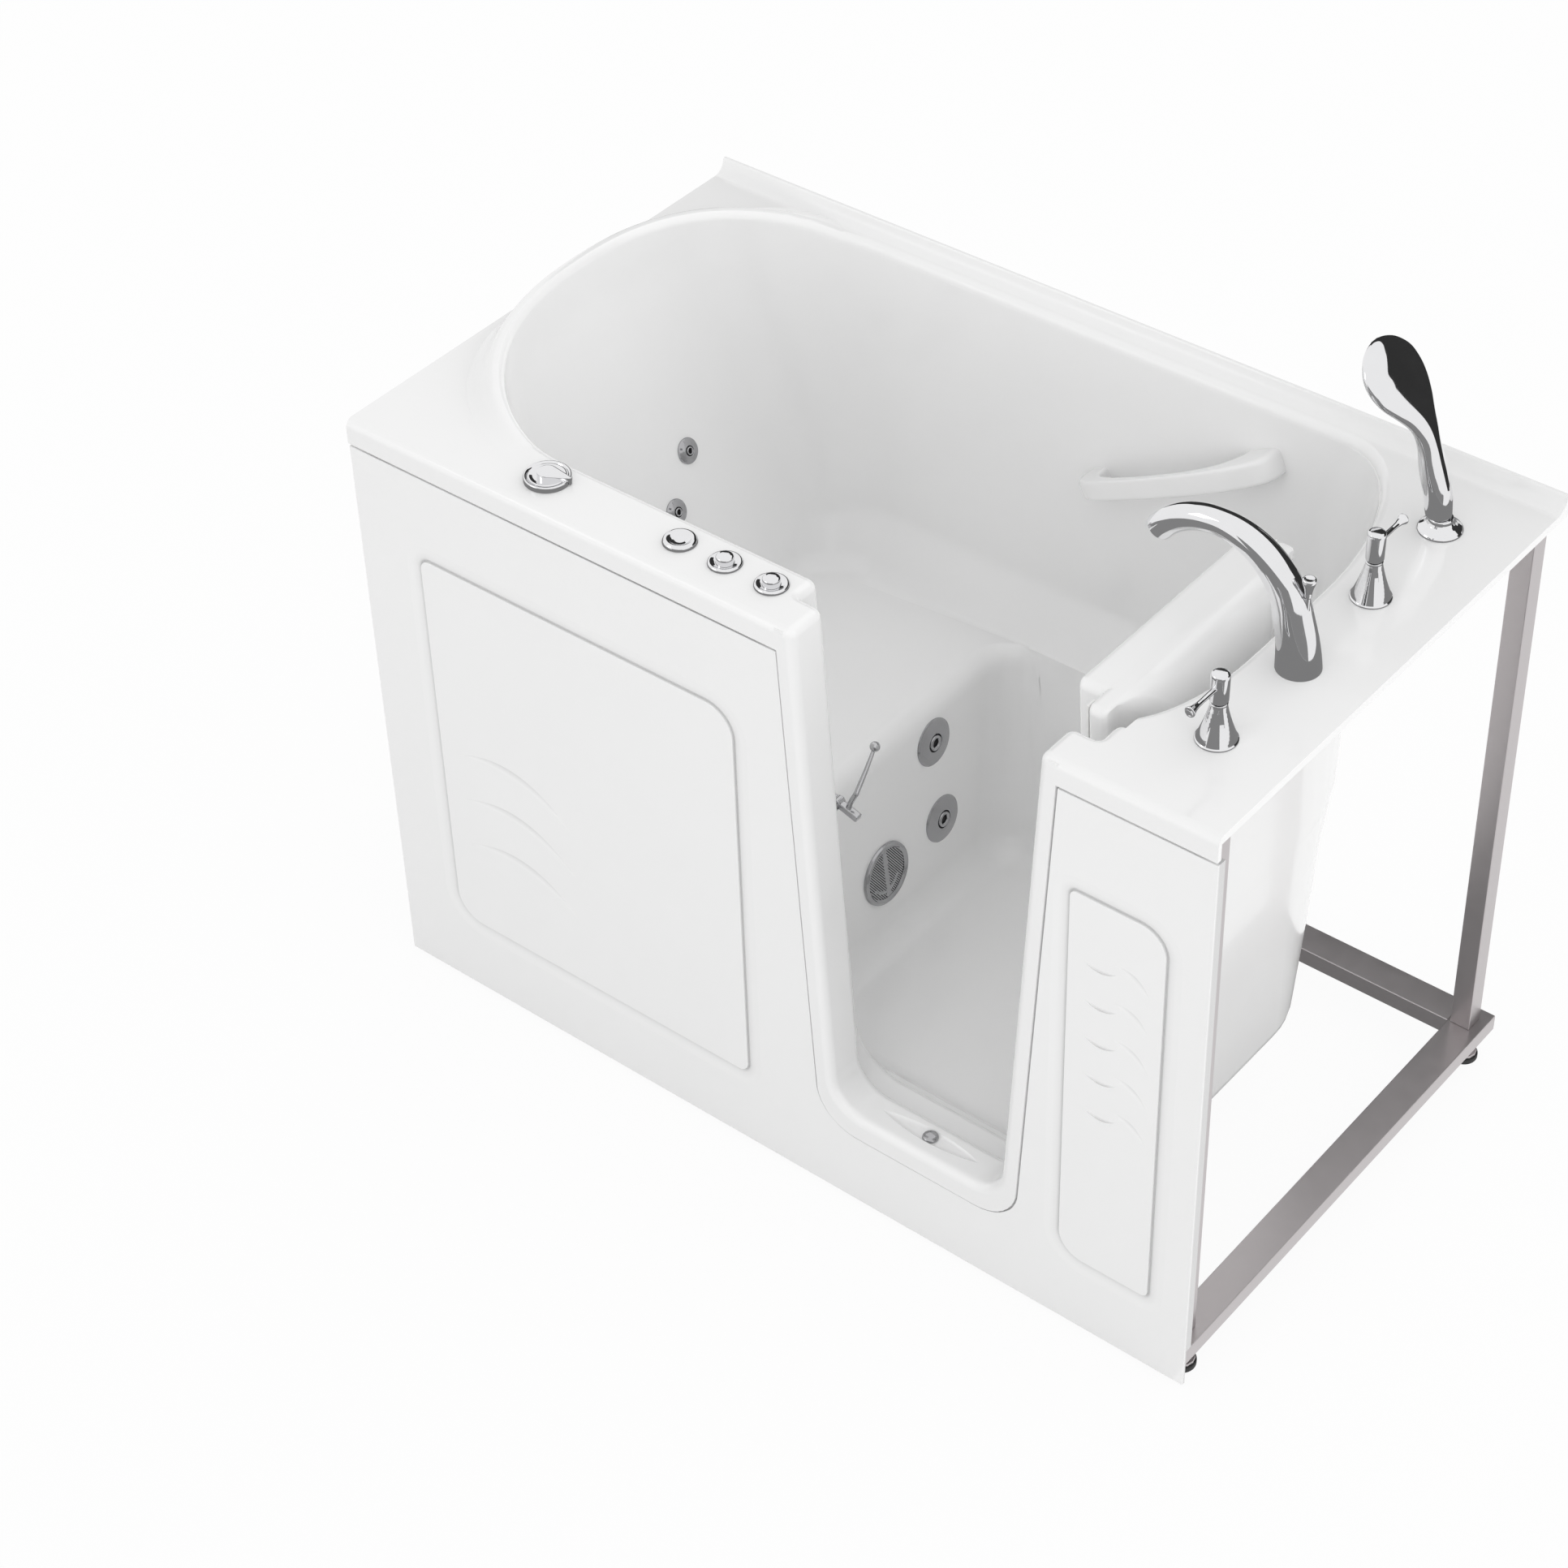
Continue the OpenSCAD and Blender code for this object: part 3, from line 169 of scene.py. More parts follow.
# %% Flags and a softbox for the gloss
# A mirror in plain white air looks like white paint. Cards that only mirrors see
# give the chrome its grey and dark bands, and the softbox draws the thin light
# lines on round edges. The cards over the deck show one side only.
def first_node(material, kind):
    """The first node of a kind in a material."""
    return [node for node in material.node_tree.nodes if node.type == kind][0]


def one_sided(material):
    """Makes the back of a card clear."""
    add, link = start_tree(material.node_tree, keep=True)
    last = first_node(material, "OUTPUT_MATERIAL")
    either = add("MixShader")
    link(add("NewGeometry").outputs["Backfacing"], either.inputs[0])
    link(last.inputs[0].links[0].from_socket, either.inputs[1])
    link(add("BsdfTransparent").outputs[0], either.inputs[2])
    link(either.outputs[0], last.inputs[0])


def flag(name, shine, place, size, facing):
    """A card of an even tone, seen by mirrors only; it lies level or turns its face towards a point."""
    bpy.ops.mesh.primitive_plane_add(size=1, location=place)
    card = bpy.context.object
    card.name = name
    card.scale = (size[0], size[1], 1)
    if facing is not None:
        card.rotation_euler = (Vector(facing) - Vector(place)).to_track_quat("Z", "Y").to_euler()
    card.visible_camera = card.visible_diffuse = card.visible_shadow = card.visible_transmission = False
    card.data.materials.append(stage_card(name + "_tone", 0.5, shine))
    return card


GREY, DARK, OVER_DECK, BRIGHT = 0.26, 0.035, 0.24, 2.8
for name, shine, place, size, facing in (
        ("flag_floor", GREY, (0, -3.3, -0.0003), (12, 5.76), None),
        ("flag_under", GREY, (-2.67, -0.02, -0.0003), (6.65, 0.8), None),
        ("flag_behind", DARK, (0.5, 3.0, 1.9), (9, 3.8), (0.5, 0, 1.9)),
        ("flag_front", GREY, (2.5, -5.0, 1.2), (7, 2.4), (2.5, 0, 1.2)),
        ("flag_tap_deck", OVER_DECK, (0.597, -0.02, 0.9376), (0.148, 0.70), None),
        ("flag_front_deck", OVER_DECK, (-0.27, -0.342, 0.9376), (0.64, 0.08), None),
        ("softbox", BRIGHT, (-2.2, -2.9, 3.1), (1.3, 1.3), (0, 0, 0.6))):
    card = flag(name, shine, place, size, facing)
    if shine == OVER_DECK:
        one_sided(card.data.materials[0])
print("cards: on the floor, beside and under the tub, behind, in front, two over the deck, softbox")

# %% [markdown]
# ## Finishes
# Each finish is one procedural material on Object coordinates, so its grain
# keeps its size in metres on every piece.

# %% A helper for every finish
NOISE = (0.3, 0.7)  # the noise hardly leaves this span


def finish(name, color, roughness, metallic=0.0, grain=60.0, tint=0.02, rough_spread=0.04, bump=0.0, coat=0.0):
    """A Principled finish whose colour, roughness and bump follow noise."""
    material, add, link = new_material(name)
    noise = add("TexNoise", Scale=grain, Detail=6.0)
    link(add("TexCoord").outputs["Object"], noise.inputs["Vector"])
    shades = add("ValToRGB")
    for stop, factor in ((0, 1 - tint), (1, 1 + tint)):
        shades.color_ramp.elements[stop].color = [min(1.0, c * factor) for c in color] + [1]
        shades.color_ramp.elements[stop].position = NOISE[stop]
    spread = add("MapRange", **{"From Min": NOISE[0], "From Max": NOISE[1],
                                "To Min": max(0.01, roughness - rough_spread), "To Max": roughness + rough_spread})
    link(noise.outputs["Fac"], shades.inputs["Fac"])
    link(noise.outputs["Fac"], spread.inputs["Value"])
    shader = add("BsdfPrincipled", Metallic=metallic, **{"Coat Weight": coat, "Coat Roughness": 0.04})
    link(shades.outputs["Color"], shader.inputs["Base Color"])
    link(spread.outputs["Result"], shader.inputs["Roughness"])
    if bump:
        dents = add("Bump", Strength=bump, Distance=0.0004)
        link(noise.outputs["Fac"], dents.inputs["Height"])
        link(dents.outputs["Normal"], shader.inputs["Normal"])
    link(shader.outputs[0], add("OutputMaterial").inputs[0])
    return material


# %% The finishes of this tub
white_gelcoat = finish("white_gelcoat", (0.89, 0.89, 0.889), 0.16, grain=9, tint=0.004, rough_spread=0.03, coat=0.3)
panel_gelcoat_painted_shade = finish("panel_gelcoat_painted_shade", (0.89, 0.89, 0.889), 0.24, grain=9, tint=0.004, rough_spread=0.03)
finishes = {
    "acrylic": white_gelcoat,
    "panel_acrylic": panel_gelcoat_painted_shade,
    "frame_steel": finish("brushed_steel", (0.56, 0.53, 0.535), 0.34, 1.0, 40, 0.015, 0.02, 0.03),
    "pad_rubber": finish("black_rubber", (0.02, 0.02, 0.02), 0.6, grain=120, tint=0.2, bump=0.2),
    "seal_rubber": finish("grey_seal", (0.82, 0.82, 0.81), 0.5, grain=90, tint=0.05, bump=0.1),
    "polished_steel": finish("polished_steel", (0.52, 0.52, 0.53), 0.10, 1.0, 50, 0.03, 0.03),
    "chrome": finish("chrome_plate", (0.80, 0.80, 0.81), 0.05, 1.0, 30, 0.01, 0.015),
    "brass": finish("rough_brass", (0.72, 0.50, 0.22), 0.32, 1.0, 60, 0.08),
    "copper": finish("copper_pipe", (0.72, 0.36, 0.24), 0.30, 1.0, 60, 0.10),
    "spray_rubber": finish("spray_rubber", (0.16, 0.17, 0.18), 0.5, grain=90, tint=0.1, bump=0.1),
    "white_pvc": finish("white_pvc", (0.74, 0.75, 0.76), 0.36, grain=40, tint=0.02, bump=0.05),
    "pump_plastic": finish("pump_plastic", (0.03, 0.03, 0.035), 0.42, grain=70, tint=0.1, bump=0.2),
    "motor_paint": finish("motor_paint", (0.09, 0.10, 0.12), 0.38, grain=70, tint=0.08, bump=0.2),
}
print("finishes:", ", ".join(sorted(finishes)))

# %% Dress the CAD nodes
slot_of = {part["node"]: part["material_slot"] for part in record["subparts"]}
for node, piece in frame["nodes"].items():
    piece.data.materials.clear()
    piece.data.materials.append(finishes[slot_of[node]])
print("dressed", len(frame["nodes"]), "nodes")

# %% [markdown]
# ## The moulded tub
# The tub is one vacuum-formed sheet: deck, basin, seat and door frame flow into
# each other through soft fillets. A box-modelled shape can't follow the leaning
# superellipse of the back rest, so the basin is lofted from level outlines whose
# walls come from small tables of height against place. Solids are then joined
# and cut as in a mould shop: deck + basin + rim + door frame, less the water
# space and the doorway, whose cutters flare at their edges to leave the fillets.

# %% Small tools for lofts and cuts
MM, ROUND = 0.001, 12.5


def only(piece):
    """Makes piece the one selected and active object."""
    bpy.ops.object.select_all(action="DESELECT")
    piece.select_set(True)
    bpy.context.view_layer.objects.active = piece
    return piece


def from_points(name, points, faces):
    """A mesh object from points in millimetres."""
    data = bpy.data.meshes.new(name)
    data.from_pydata([(x * MM, y * MM, z * MM) for x, y, z in points], [], faces)
    piece = bpy.data.objects.new(name, data)
    bpy.context.scene.collection.objects.link(piece)
    return tidy_mesh(piece)


def tidy_mesh(piece):
    """Merges points closer than 0.02 mm and turns all faces outwards."""
    only(piece)
    bpy.ops.object.mode_set(mode="EDIT")
    bpy.ops.mesh.select_all(action="SELECT")
    bpy.ops.mesh.remove_doubles(threshold=0.02 * MM)
    bpy.ops.mesh.normals_make_consistent(inside=False)
    bpy.ops.object.mode_set(mode="OBJECT")
    return piece


def loft(name, rings):
    """A closed solid through rings of equally many points, capped at both ends."""
    count = len(rings[0])
    faces = [tuple(range(count)), tuple(reversed(range((len(rings) - 1) * count, len(rings) * count)))]
    for row in range(len(rings) - 1):
        for i in range(count):
            a, b = row * count + i, row * count + (i + 1) % count
            faces.append((a, b, b + count, a + count))
    return from_points(name, [p for ring in rings for p in ring], faces)


def combine(piece, operation, tools):
    """Joins tools to piece (UNION) or cuts them away (DIFFERENCE), and removes them."""
    for tool in tools:
        only(piece)
        change = piece.modifiers.new("combine", "BOOLEAN")
        change.operation, change.object, change.solver = operation, tool, "EXACT"
        bpy.ops.object.modifier_apply(modifier=change.name)
        bpy.data.objects.remove(tool)


def join(piece, *tools):
    """Joins tools to a piece."""
    combine(piece, "UNION", tools)


def cut(piece, *tools):
    """Cuts tools out of a piece."""
    combine(piece, "DIFFERENCE", tools)


def tell(label, piece):
    """Prints how many faces a piece has."""
    print(label + ":", len(piece.data.polygons), "faces")


def unit(degrees):
    """Cosine and sine of an angle."""
    return math.cos(math.radians(degrees)), math.sin(math.radians(degrees))


def box_solid(name, low, high):
    """A box between two corners in millimetres."""
    points = [(x, y, z) for x in (low[0], high[0]) for y in (low[1], high[1]) for z in (low[2], high[2])]
    faces = [(0, 1, 3, 2), (4, 6, 7, 5), (0, 4, 5, 1), (2, 3, 7, 6), (0, 2, 6, 4), (1, 5, 7, 3)]
    return from_points(name, points, faces)


# %% Tables of the basin's walls, millimetres against height
DECK, SEAT, FLOOR, SILL = 937, 430, 115, 163
HALF_L, FRONT, WALL = 673, -385, 385
HEAD = [(115, -432), (430, -432), (520, -468), (700, -545), (850, -606), (937, -634), (1010, -640)]
TAP = [(115, 478), (300, 489), (600, 500), (937, 519), (1010, 521)]
FRONT_IN = [(115, -272), (937, -281), (1010, -281)]
BACK_IN = [(115, 217), (430, 283), (505, 330), (937, 350), (1010, 350)]
RISER = [(115, -59.5), (430, -95)]
HEAD_CORNER_X = [(430, 90), (505, 120), (700, 185), (937, 268), (1010, 268)]
HEAD_CORNER_Y = [(430, 90), (505, 130), (700, 230), (937, 314.5), (1010, 314.5)]
TAP_CORNERS = (
    [(115, 110), (430, 150), (490, 170), (728, 180), (860, 164), (937, 137), (1010, 137)],  # back corner, along x
    [(115, 110), (430, 200), (490, 240), (728, 280), (937, 290)],                           # back corner, along y
    [(115, 60), (937, 76)],                                                                 # front corner, along x
    [(115, 60), (937, 190)])                                                                # front corner, along y
FOOT_MID = [(115, 40), (405, -40), (430, -60)]


def at(table, z):
    """Straight-line value of a table at height z."""
    if z <= table[0][0]:
        return table[0][1]
    for (z0, v0), (z1, v1) in zip(table, table[1:]):
        if z <= z1:
            return v0 + (v1 - v0) * (z - z0) / (z1 - z0)
    return table[-1][1]


def soft(table, z):
    """The table's value with its kinks rounded over."""
    return sum(at(table, z + 3 * k) for k in range(-3, 4)) / 7


def bulged(value, power):
    """A sine or cosine changed to draw a superellipse of that power."""
    return math.copysign(abs(value) ** (2 / power), value)


def quarter(cx, cy, rx, ry, power, start, steps):
    """A quarter of a superellipse round (cx, cy), from angle start."""
    turns = [unit(start + 90 * i / steps) for i in range(steps + 1)]
    return [(cx + rx * bulged(c, power), cy + ry * bulged(s, power)) for c, s in turns]


BIG, SMALL = 30, 12  # steps round a corner at the seat end and at the tap end


def outline(left, right, front, back, head, tap_back, tap_front, power, grow=0, fillet=0, mid=-60):
    """Level section of the basin, grown outwards, its seat end drawn in by a fillet."""
    (lx, ly), (bx, by), (fx, fy) = head, tap_back, tap_front
    e, d = grow, grow - fillet
    return (quarter(right - bx, back - by, bx + e, by + e, 2, 0, SMALL)
            + [(mid, back + e)]
            + quarter(left + lx, back - ly, lx + d, ly + d, power, 90, BIG)
            + quarter(left + lx, front + ly, lx + d, ly + d, power, 180, BIG)
            + [(mid, front - e)]
            + quarter(right - fx, front + fy, fx + e, fy + e, 2, 270, SMALL))


def corner_power(z):
    """Superellipse power of the back rest's corners, which grow squarer towards the deck."""
    return 2 + 0.3 * max(0, min(1, (z - 505) / 432))


def full_section(z, grow=0, fillet=0):
    """Section above the seat."""
    left, right, front, back, hx, hy, bx, by, fx, fy = [
        soft(table, z) for table in (HEAD, TAP, FRONT_IN, BACK_IN, HEAD_CORNER_X, HEAD_CORNER_Y, *TAP_CORNERS)]
    return outline(left, right, front, back, (hx, hy), (bx, by), (fx, fy), corner_power(z), grow, fillet)


def foot_section(z, grow=0, back_off=0):
    """Section of the footwell below the seat."""
    left, right, front, back, bx, by, fx, fy = [at(table, z) for table in (RISER, TAP, FRONT_IN, BACK_IN, *TAP_CORNERS)]
    return outline(left - back_off, right, front, back, (55, 55), (bx, by), (fx, fy), 2, grow, mid=at(FOOT_MID, z))


def came_out(r, h):
    """How far a fillet of radius r stands out at height h above its foot."""
    return r - math.sqrt(max(0.0, r * r - (r - min(h, r)) ** 2))


def level(section, z):
    """A section as ring of points at one height."""
    return [(x, y, z) for x, y in section]


WALL_LEVELS = (924, 890, 850, 800, 750, 700, 650, 600, 560, 530, 518, 512, 505, 498, 490)


def basin_rings(grow, drop):
    """Rings from just under the rim down to the floor."""
    rings = [level(full_section(z, grow), z) for z in WALL_LEVELS]
    rings += [level(full_section(SEAT + h, grow, came_out(26, h)), SEAT + h - drop) for h in (26, 19, 13, 8, 4, 1.5, 0)]
    rings += [level(foot_section(SEAT - h, grow, came_out(30, h)), SEAT - h - drop)
              for h in (0.3, 1.5, 4, 8, 13, 19, 30)]
    rings += [level(foot_section(z, grow), z - drop) for z in (350, 290, 220)]
    return rings + [level(foot_section(FLOOR + h, grow - came_out(40, h)), FLOOR + h - drop)
                    for h in (40, 29, 20, 12, 6, 2, 0)]


print("basin section has", len(full_section(600)), "points")

# %% [markdown]
# The rim behind the bather's head climbs 50 mm out of the deck. Its height
# depends only on x; inside it turns into the water space with a round edge, and
# outside it runs down to the deck in a hollow curve.

# %% Water space with its round upper edge
EDGE_Z = 930  # the section that the rim and its edge follow


def rim_height(x):
    """How far the rim stands above the deck; slightly below it where it fades."""
    return 53 * max(0.0, min(1.0, (-415 - x) / 247)) ** 1.2 - 3


def edge_ring(grow, down):
    """Ring of the upper edge, lifted with the rim."""
    return [(x, y, DECK + max(0.0, rim_height(x)) - down) for x, y in full_section(EDGE_Z, grow)]


water_rings = [edge_ring(40, -90), edge_ring(ROUND + 1.6, -30)]
for step in range(9):
    c, s = unit(96 - 12 * step)
    grow = ROUND * (1 - c) if step else ROUND + 0.8
    water_rings.append(edge_ring(grow, ROUND * (1 - s) - 0.25 * (step == 0)))
water = loft("water_space", water_rings + basin_rings(0, 0))
tell("water space", water)

# %% Outer skin of the basin
tub = loft("tub_moulding", [level(full_section(934, 8), 934)] + basin_rings(8, 8))
tell("basin block", tub)

# %% Deck with lip, cove and wall edge
def arc(cx, cy, r, start, end, steps):
    """Points on a circular arc, both ends in."""
    turns = [unit(start + (end - start) * i / steps) for i in range(steps + 1)]
    return [(cx + r * c, cy + r * s) for c, s in turns]


# the deck's section across the tub, as (y, z)
deck_profile = (
    [(FRONT, DECK - 36)] + arc(FRONT + 12, DECK - 12, 12, 180, 90, 6) + arc(WALL - 25, DECK + 20, 20, -90, -8, 6)
    + [(WALL - 4.6, DECK + 18.6), (WALL - 3.4, DECK + 20), (WALL, DECK + 20), (WALL, DECK - 12), (WALL - 7, DECK - 12),
       (WALL - 7, DECK - 8), (FRONT + 7, DECK - 8), (FRONT + 7, DECK - 36)])
deck = loft("deck", [[(x, y, z) for y, z in deck_profile] for x in (-HALF_L, HALF_L)])
for side in (-1, 1):
    near, far = sorted((side * (HALF_L - 7), side * HALF_L))
    join(deck, box_solid("side_lip", (near, FRONT + 7, DECK - 12), (far, WALL - 7, DECK - 4)))
tell("deck", deck)

# %% Raised rim
CREST, FOOT = 16.5, 52  # distances from the water at which the rim is highest, and at which it meets the deck
COVE_Y, STAGGER = WALL - 3.6, 0.02  # the rim's rings end inside the wall edge, 0.02 mm apart for each mm of distance


def rim_ring(out, share):
    """Ring of the rim's skin at distance out from the water, share of its height."""
    ring = []
    inner, outer, foot = (full_section(EDGE_Z, grow) for grow in (0, out, FOOT))
    for (x0, y0), (x, y), (xf, _) in zip(inner, outer, foot):
        if out > CREST:
            room = min(1.0, ((x0 + HALF_L - 9) / (x0 - xf + 1e-9) * FOOT - CREST) / (FOOT - CREST)) if xf < x0 else 1.0
            k = (CREST + (out - CREST) * room) / out
            x, y = x0 + k * (x - x0), y0 + k * (y - y0)
            y = min(y, COVE_Y - STAGGER * (FOOT - out))
        ring.append((x, y, DECK + share * max(rim_height(x0), -2.0) - (1.7 if share == 0 else 0)))
    return ring


skin = [(FOOT, 0.0), (47, 0.03), (42, 0.09), (37, 0.19), (32, 0.34), (27, 0.54), (23, 0.73), (19.5, 0.88),
        (CREST, 0.965), (13.5, 1.0), (-14, 1.0)]
low, inside = ([(x, y, DECK - 6.3) for x, y, z in rim_ring(out, 0)] for out in (FOOT, -14))
rim = loft("raised_rim", [low] + [rim_ring(out, share) for out, share in skin] + [inside])
tell("rim", rim)

# %% [markdown]
# The doorway leans in like a V with round lower corners. Its cutter is lofted
# from front to back through U-shaped outlines; where a real mould has a round
# edge, the outlines flare, so the cut leaves the fillets.

# %% U-shaped outlines of the doorway
DOOR_X, HALF_DOOR, LEAN = 246, 181, 0.061


def half_width(z, grow):
    """Half the doorway's width at height z."""
    return HALF_DOOR - LEAN * (DECK - z) + grow


def u_points(side, down, top_levels, radius=50):
    """(x, z) from the left top round to the right top; side and down are the growths."""
    base, r = SILL - down, radius + down
    c = half_width(base + r, side) - r
    left = [(-half_width(z, side), z) for z in top_levels]
    left += arc(-c, base + r, r, 180, 270, 10)
    return [(DOOR_X + x, z) for x, z in left] + [(DOOR_X - x, z) for x, z in reversed(left)]


def u_slab(name, rings, top):
    """A solid through U outlines given as (grow, base, radius, y)."""
    return loft(name, [[(x, y, z) for x, z in u_points(grow, SILL - base, [top], radius=radius - (SILL - base))]
                       for grow, base, radius, y in rings])


face_band = u_slab("face_band", [(25.3, 126.7, 63, FRONT + 0.03), (26.5, 125.5, 64.5, FRONT + 0.5),
                                 (27, 125, 65, FRONT + 1.7), (27, 125, 65, FRONT + 12.3)], DECK - 4.4)
housing = u_slab("housing", [(49, 127, 65, FRONT + 8), (49, 127, 65, -266.3)], DECK - 3.7)
print("doorway corner at", [round(v) for v in u_points(0, 0, [DECK])[5]])

# %% Cutter of the doorway
R, LIP = ROUND + 0.3, 6  # radii of the round edges and of the rebate's inner edge
STEP_Y, CUT_W, CUT_D = FRONT + 64, 40, 21
TOP_LEVELS = [DECK + 30, DECK + 0.12] + [DECK - ROUND * (1 - unit(75 - 15 * i)[1]) for i in range(6)]


def round_edge(start, steps):
    """(growth, y, direction into the tub) along a round edge, 15 degrees a step."""
    for i in steps:
        c, s = unit(start - 15 * i)
        yield R + R * c, R * s, (-c, -s)


def doorway_ring(side, down, y, inward, wall_y=None):
    """One outline of the cutter, at y or at wall_y from the leaning wall, flared where it nears the deck."""
    ring = []
    for x, z in u_points(side, down, TOP_LEVELS):
        flare = came_out(ROUND, DECK - z) if z > DECK - ROUND else 0
        if z > DECK:
            flare = ROUND + 0.18
        out = 1 if x > DOOR_X else -1
        place = y if wall_y is None else at(FRONT_IN, z) + wall_y
        ring.append((x + out * flare * inward[0], place + flare * inward[1], z))
    return ring


doorway_rings = [doorway_ring(R + 3, R + 3, FRONT - 20, (0, 1)), doorway_ring(R + 1.2, R + 1.2, FRONT - 0.12, (0, 1))]
doorway_rings += [doorway_ring(n, n, FRONT + R + y, way) for n, y, way in round_edge(270, range(1, 7))]
doorway_rings += [doorway_ring(n, n, STEP_Y - R + y, way) for n, y, way in round_edge(180, range(7))]
for i in range(5):
    c, s = unit(-90 + 22.5 * i)
    n = LIP * (c - 1)
    doorway_rings.append(doorway_ring(CUT_W + n, CUT_D + n, STEP_Y + LIP + LIP * s, (c, s)))
doorway_rings += [doorway_ring(CUT_W + n, CUT_D + n, None, way, y - R) for n, y, way in round_edge(180, range(7))]
doorway_rings.append(doorway_ring(CUT_W + R + 1.2, CUT_D + R + 1.2, None, (0, -1), 0.12))
doorway_rings.append(doorway_ring(CUT_W + R + 3, CUT_D + R + 3, -240, (0, 0)))
doorway = loft("doorway", doorway_rings)
tell("doorway cutter", doorway)

# %% Join and cut
join(tub, deck, rim)
tell("with deck and rim", tub)
join(tub, housing, box_solid("slot_block", (400, FRONT + 8.6, 216), (468, FRONT + 123, DECK - 5.2)), face_band)
cut(tub, water)
tell("hollowed", tub)
cut(tub, doorway, box_solid("hinge_slot", (380, STEP_Y, 225), (459, STEP_Y + 60, 806)))

# %% Gutter in the sill
# a leaf between two arcs round the sill's drain, sunk in rings of (share of its outline, height)
LEAF_R, LEAF_OFF, LEAF_HALF = 290, 278, 16.4
leaf = arc(0, -LEAF_OFF, LEAF_R, 90 + LEAF_HALF, 90 - LEAF_HALF, 16)
leaf += arc(0, LEAF_OFF, LEAF_R, 270 + LEAF_HALF, 270 - LEAF_HALF, 16)[1:-1]
gutter = [[(DOOR_X + share * x, FRONT + 35 + share * y, SILL + z) for x, y in leaf]
          for share, z in ((1.06, 1.5), (1.0, 0.2), (0.94, -0.7), (0.84, -2.1), (0.7, -2.9), (0.5, -3.1))]
cut(tub, loft("gutter", gutter))
tell("tub", tub)

# %% Finish the tub's surface
def smooth(piece, angle=35):
    """Smooth shading with real edges left sharp, and flat faces kept flat."""
    only(piece)
    bpy.ops.object.shade_smooth_by_angle(angle=math.radians(angle))
    weigh = piece.modifiers.new("weigh", "WEIGHTED_NORMAL")
    weigh.keep_sharp = True
    bpy.ops.object.modifier_apply(modifier=weigh.name)
    return piece


def place_piece(piece, body, material, slot, *nodes):
    """Dresses a new piece, lets it ride on its body and stand for CAD nodes."""
    piece.data.materials.clear()
    piece.data.materials.append(material)
    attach(piece, body)
    if nodes:
        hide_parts(*nodes)
    return piece


smooth(tub)
place_piece(tub, "tub", white_gelcoat, "acrylic", "tub_shell")

# %% [markdown]
# ## Door
# The door is a hollow moulding too: a plug that fills the doorway, a wider
# flange behind it and a belly that swells into the tub. It's drawn shut, as its
# outlines repeat the doorway's, and then swung open about its hinge line.

# %% Slabs with rounded edges
def u_outline(grow, base, radius, top, corner):
    """(x, z) of a U with four round corners, its sides leaning like the doorway."""
    side = lambda z: half_width(z, grow)
    c = side(base + radius) - radius
    left = [(-side(z), z) for z in [top - corner + (top - base - radius - corner) * -k / 8 for k in range(1, 8)]]
    left = (arc(-side(top) + corner, top - corner, corner, 90, 180, 6) + left
            + arc(-c, base + radius, radius, 180, 270, 10))
    return [(DOOR_X + x, z) for x, z in left] + [(DOOR_X - x, z) for x, z in reversed(left)]


def soft_slab(name, grow, base, radius, corner, start, end, top=DECK):
    """A U slab between two ends (y, edge radius, ease of the top edge); a negative edge flares outwards."""
    rings = []
    for (y, edge, ease), sign, order in ((start, 1, range(7)), (end, -1, range(6, -1, -1))):
        for k in order:
            c, s = unit(15 * k)
            d, sink = edge * (1 - s), ease * (1 - s)
            shape = u_outline(grow - d, base + d, max(radius - d, 4), top - sink, max(corner - max(d, 0), 1.5))
            rings.append([(x, y + sign * abs(edge) * (1 - c), z) for x, z in shape])
    return loft(name, rings)


# %% Plug, flange and belly
PLUG_Y, FLANGE_Y, FLANGE_IN = FRONT + 30, FRONT + 67, FRONT + 92
door = soft_slab("door_moulded", 22, SILL - 16, 50, 11, (FLANGE_Y, 8, 3), (FLANGE_IN, 8, 3))
plug = soft_slab("plug", -11, SILL + 8, 42, 12, (PLUG_Y, 8, 4), (FLANGE_Y + 1.3, -9, 0), DECK - 0.05)
root = soft_slab("plug_root", -12, SILL + 9, 41, 12, (FLANGE_Y - 6, 1, 0), (FLANGE_Y + 12, 1, 0), DECK - 0.1)
join(plug, root)
join(door, plug)

SWELL, SIDE_RUN, FOOT_RUN, BELLY_TOP = 57, 150, 130, DECK - 0.15
SHOULDER = [(0, 0), (0.12, 5), (0.25, 15), (0.38, 29), (0.50, 46), (0.62, 67), (0.74, 93), (0.85, 124), (0.94, 160),
            (1.0, 205)]
belly_rings = [[(x, FLANGE_IN - 12, z) for x, z in u_outline(12, SILL - 8, 50, BELLY_TOP, 9)]]
for k in range(0, 19):
    s = math.sin(math.radians(5 * k))
    share = 0.5 - math.sin(math.asin(1 - 2 * s) / 3)
    base = SILL - 8 + FOOT_RUN * (1 - math.sqrt(max(0, 1 - s * s)))
    shape = u_outline(12 - SIDE_RUN * share, base, 50, BELLY_TOP - at(SHOULDER, s), 9 + 25 * share)
    belly_rings.append([(x, FLANGE_IN - 3 * (k == 0) + SWELL * s * (0.60 + 0.40 * (z - 150) / (DECK - 150)), z)
                        for x, z in shape])
join(door, loft("belly", belly_rings))
hinge = Vector((0.453, -0.288, 0))
door.data.transform(Matrix.Translation(hinge) @ Matrix.Rotation(math.radians(-90), 4, "Z") @ Matrix.Translation(-hinge))
smooth(door, 40)
place_piece(door, "door", white_gelcoat, "acrylic", "door_panel")
tell("door", door)

# %% [markdown]
# ## Front panel
# One plate with a U cut out for the doorway. A channel with a crisp inner wall
# and a soft outer slope runs round each field. The crescents are sunk like
# wedges: deepest under their upper arc, fading to nothing at the lower one.

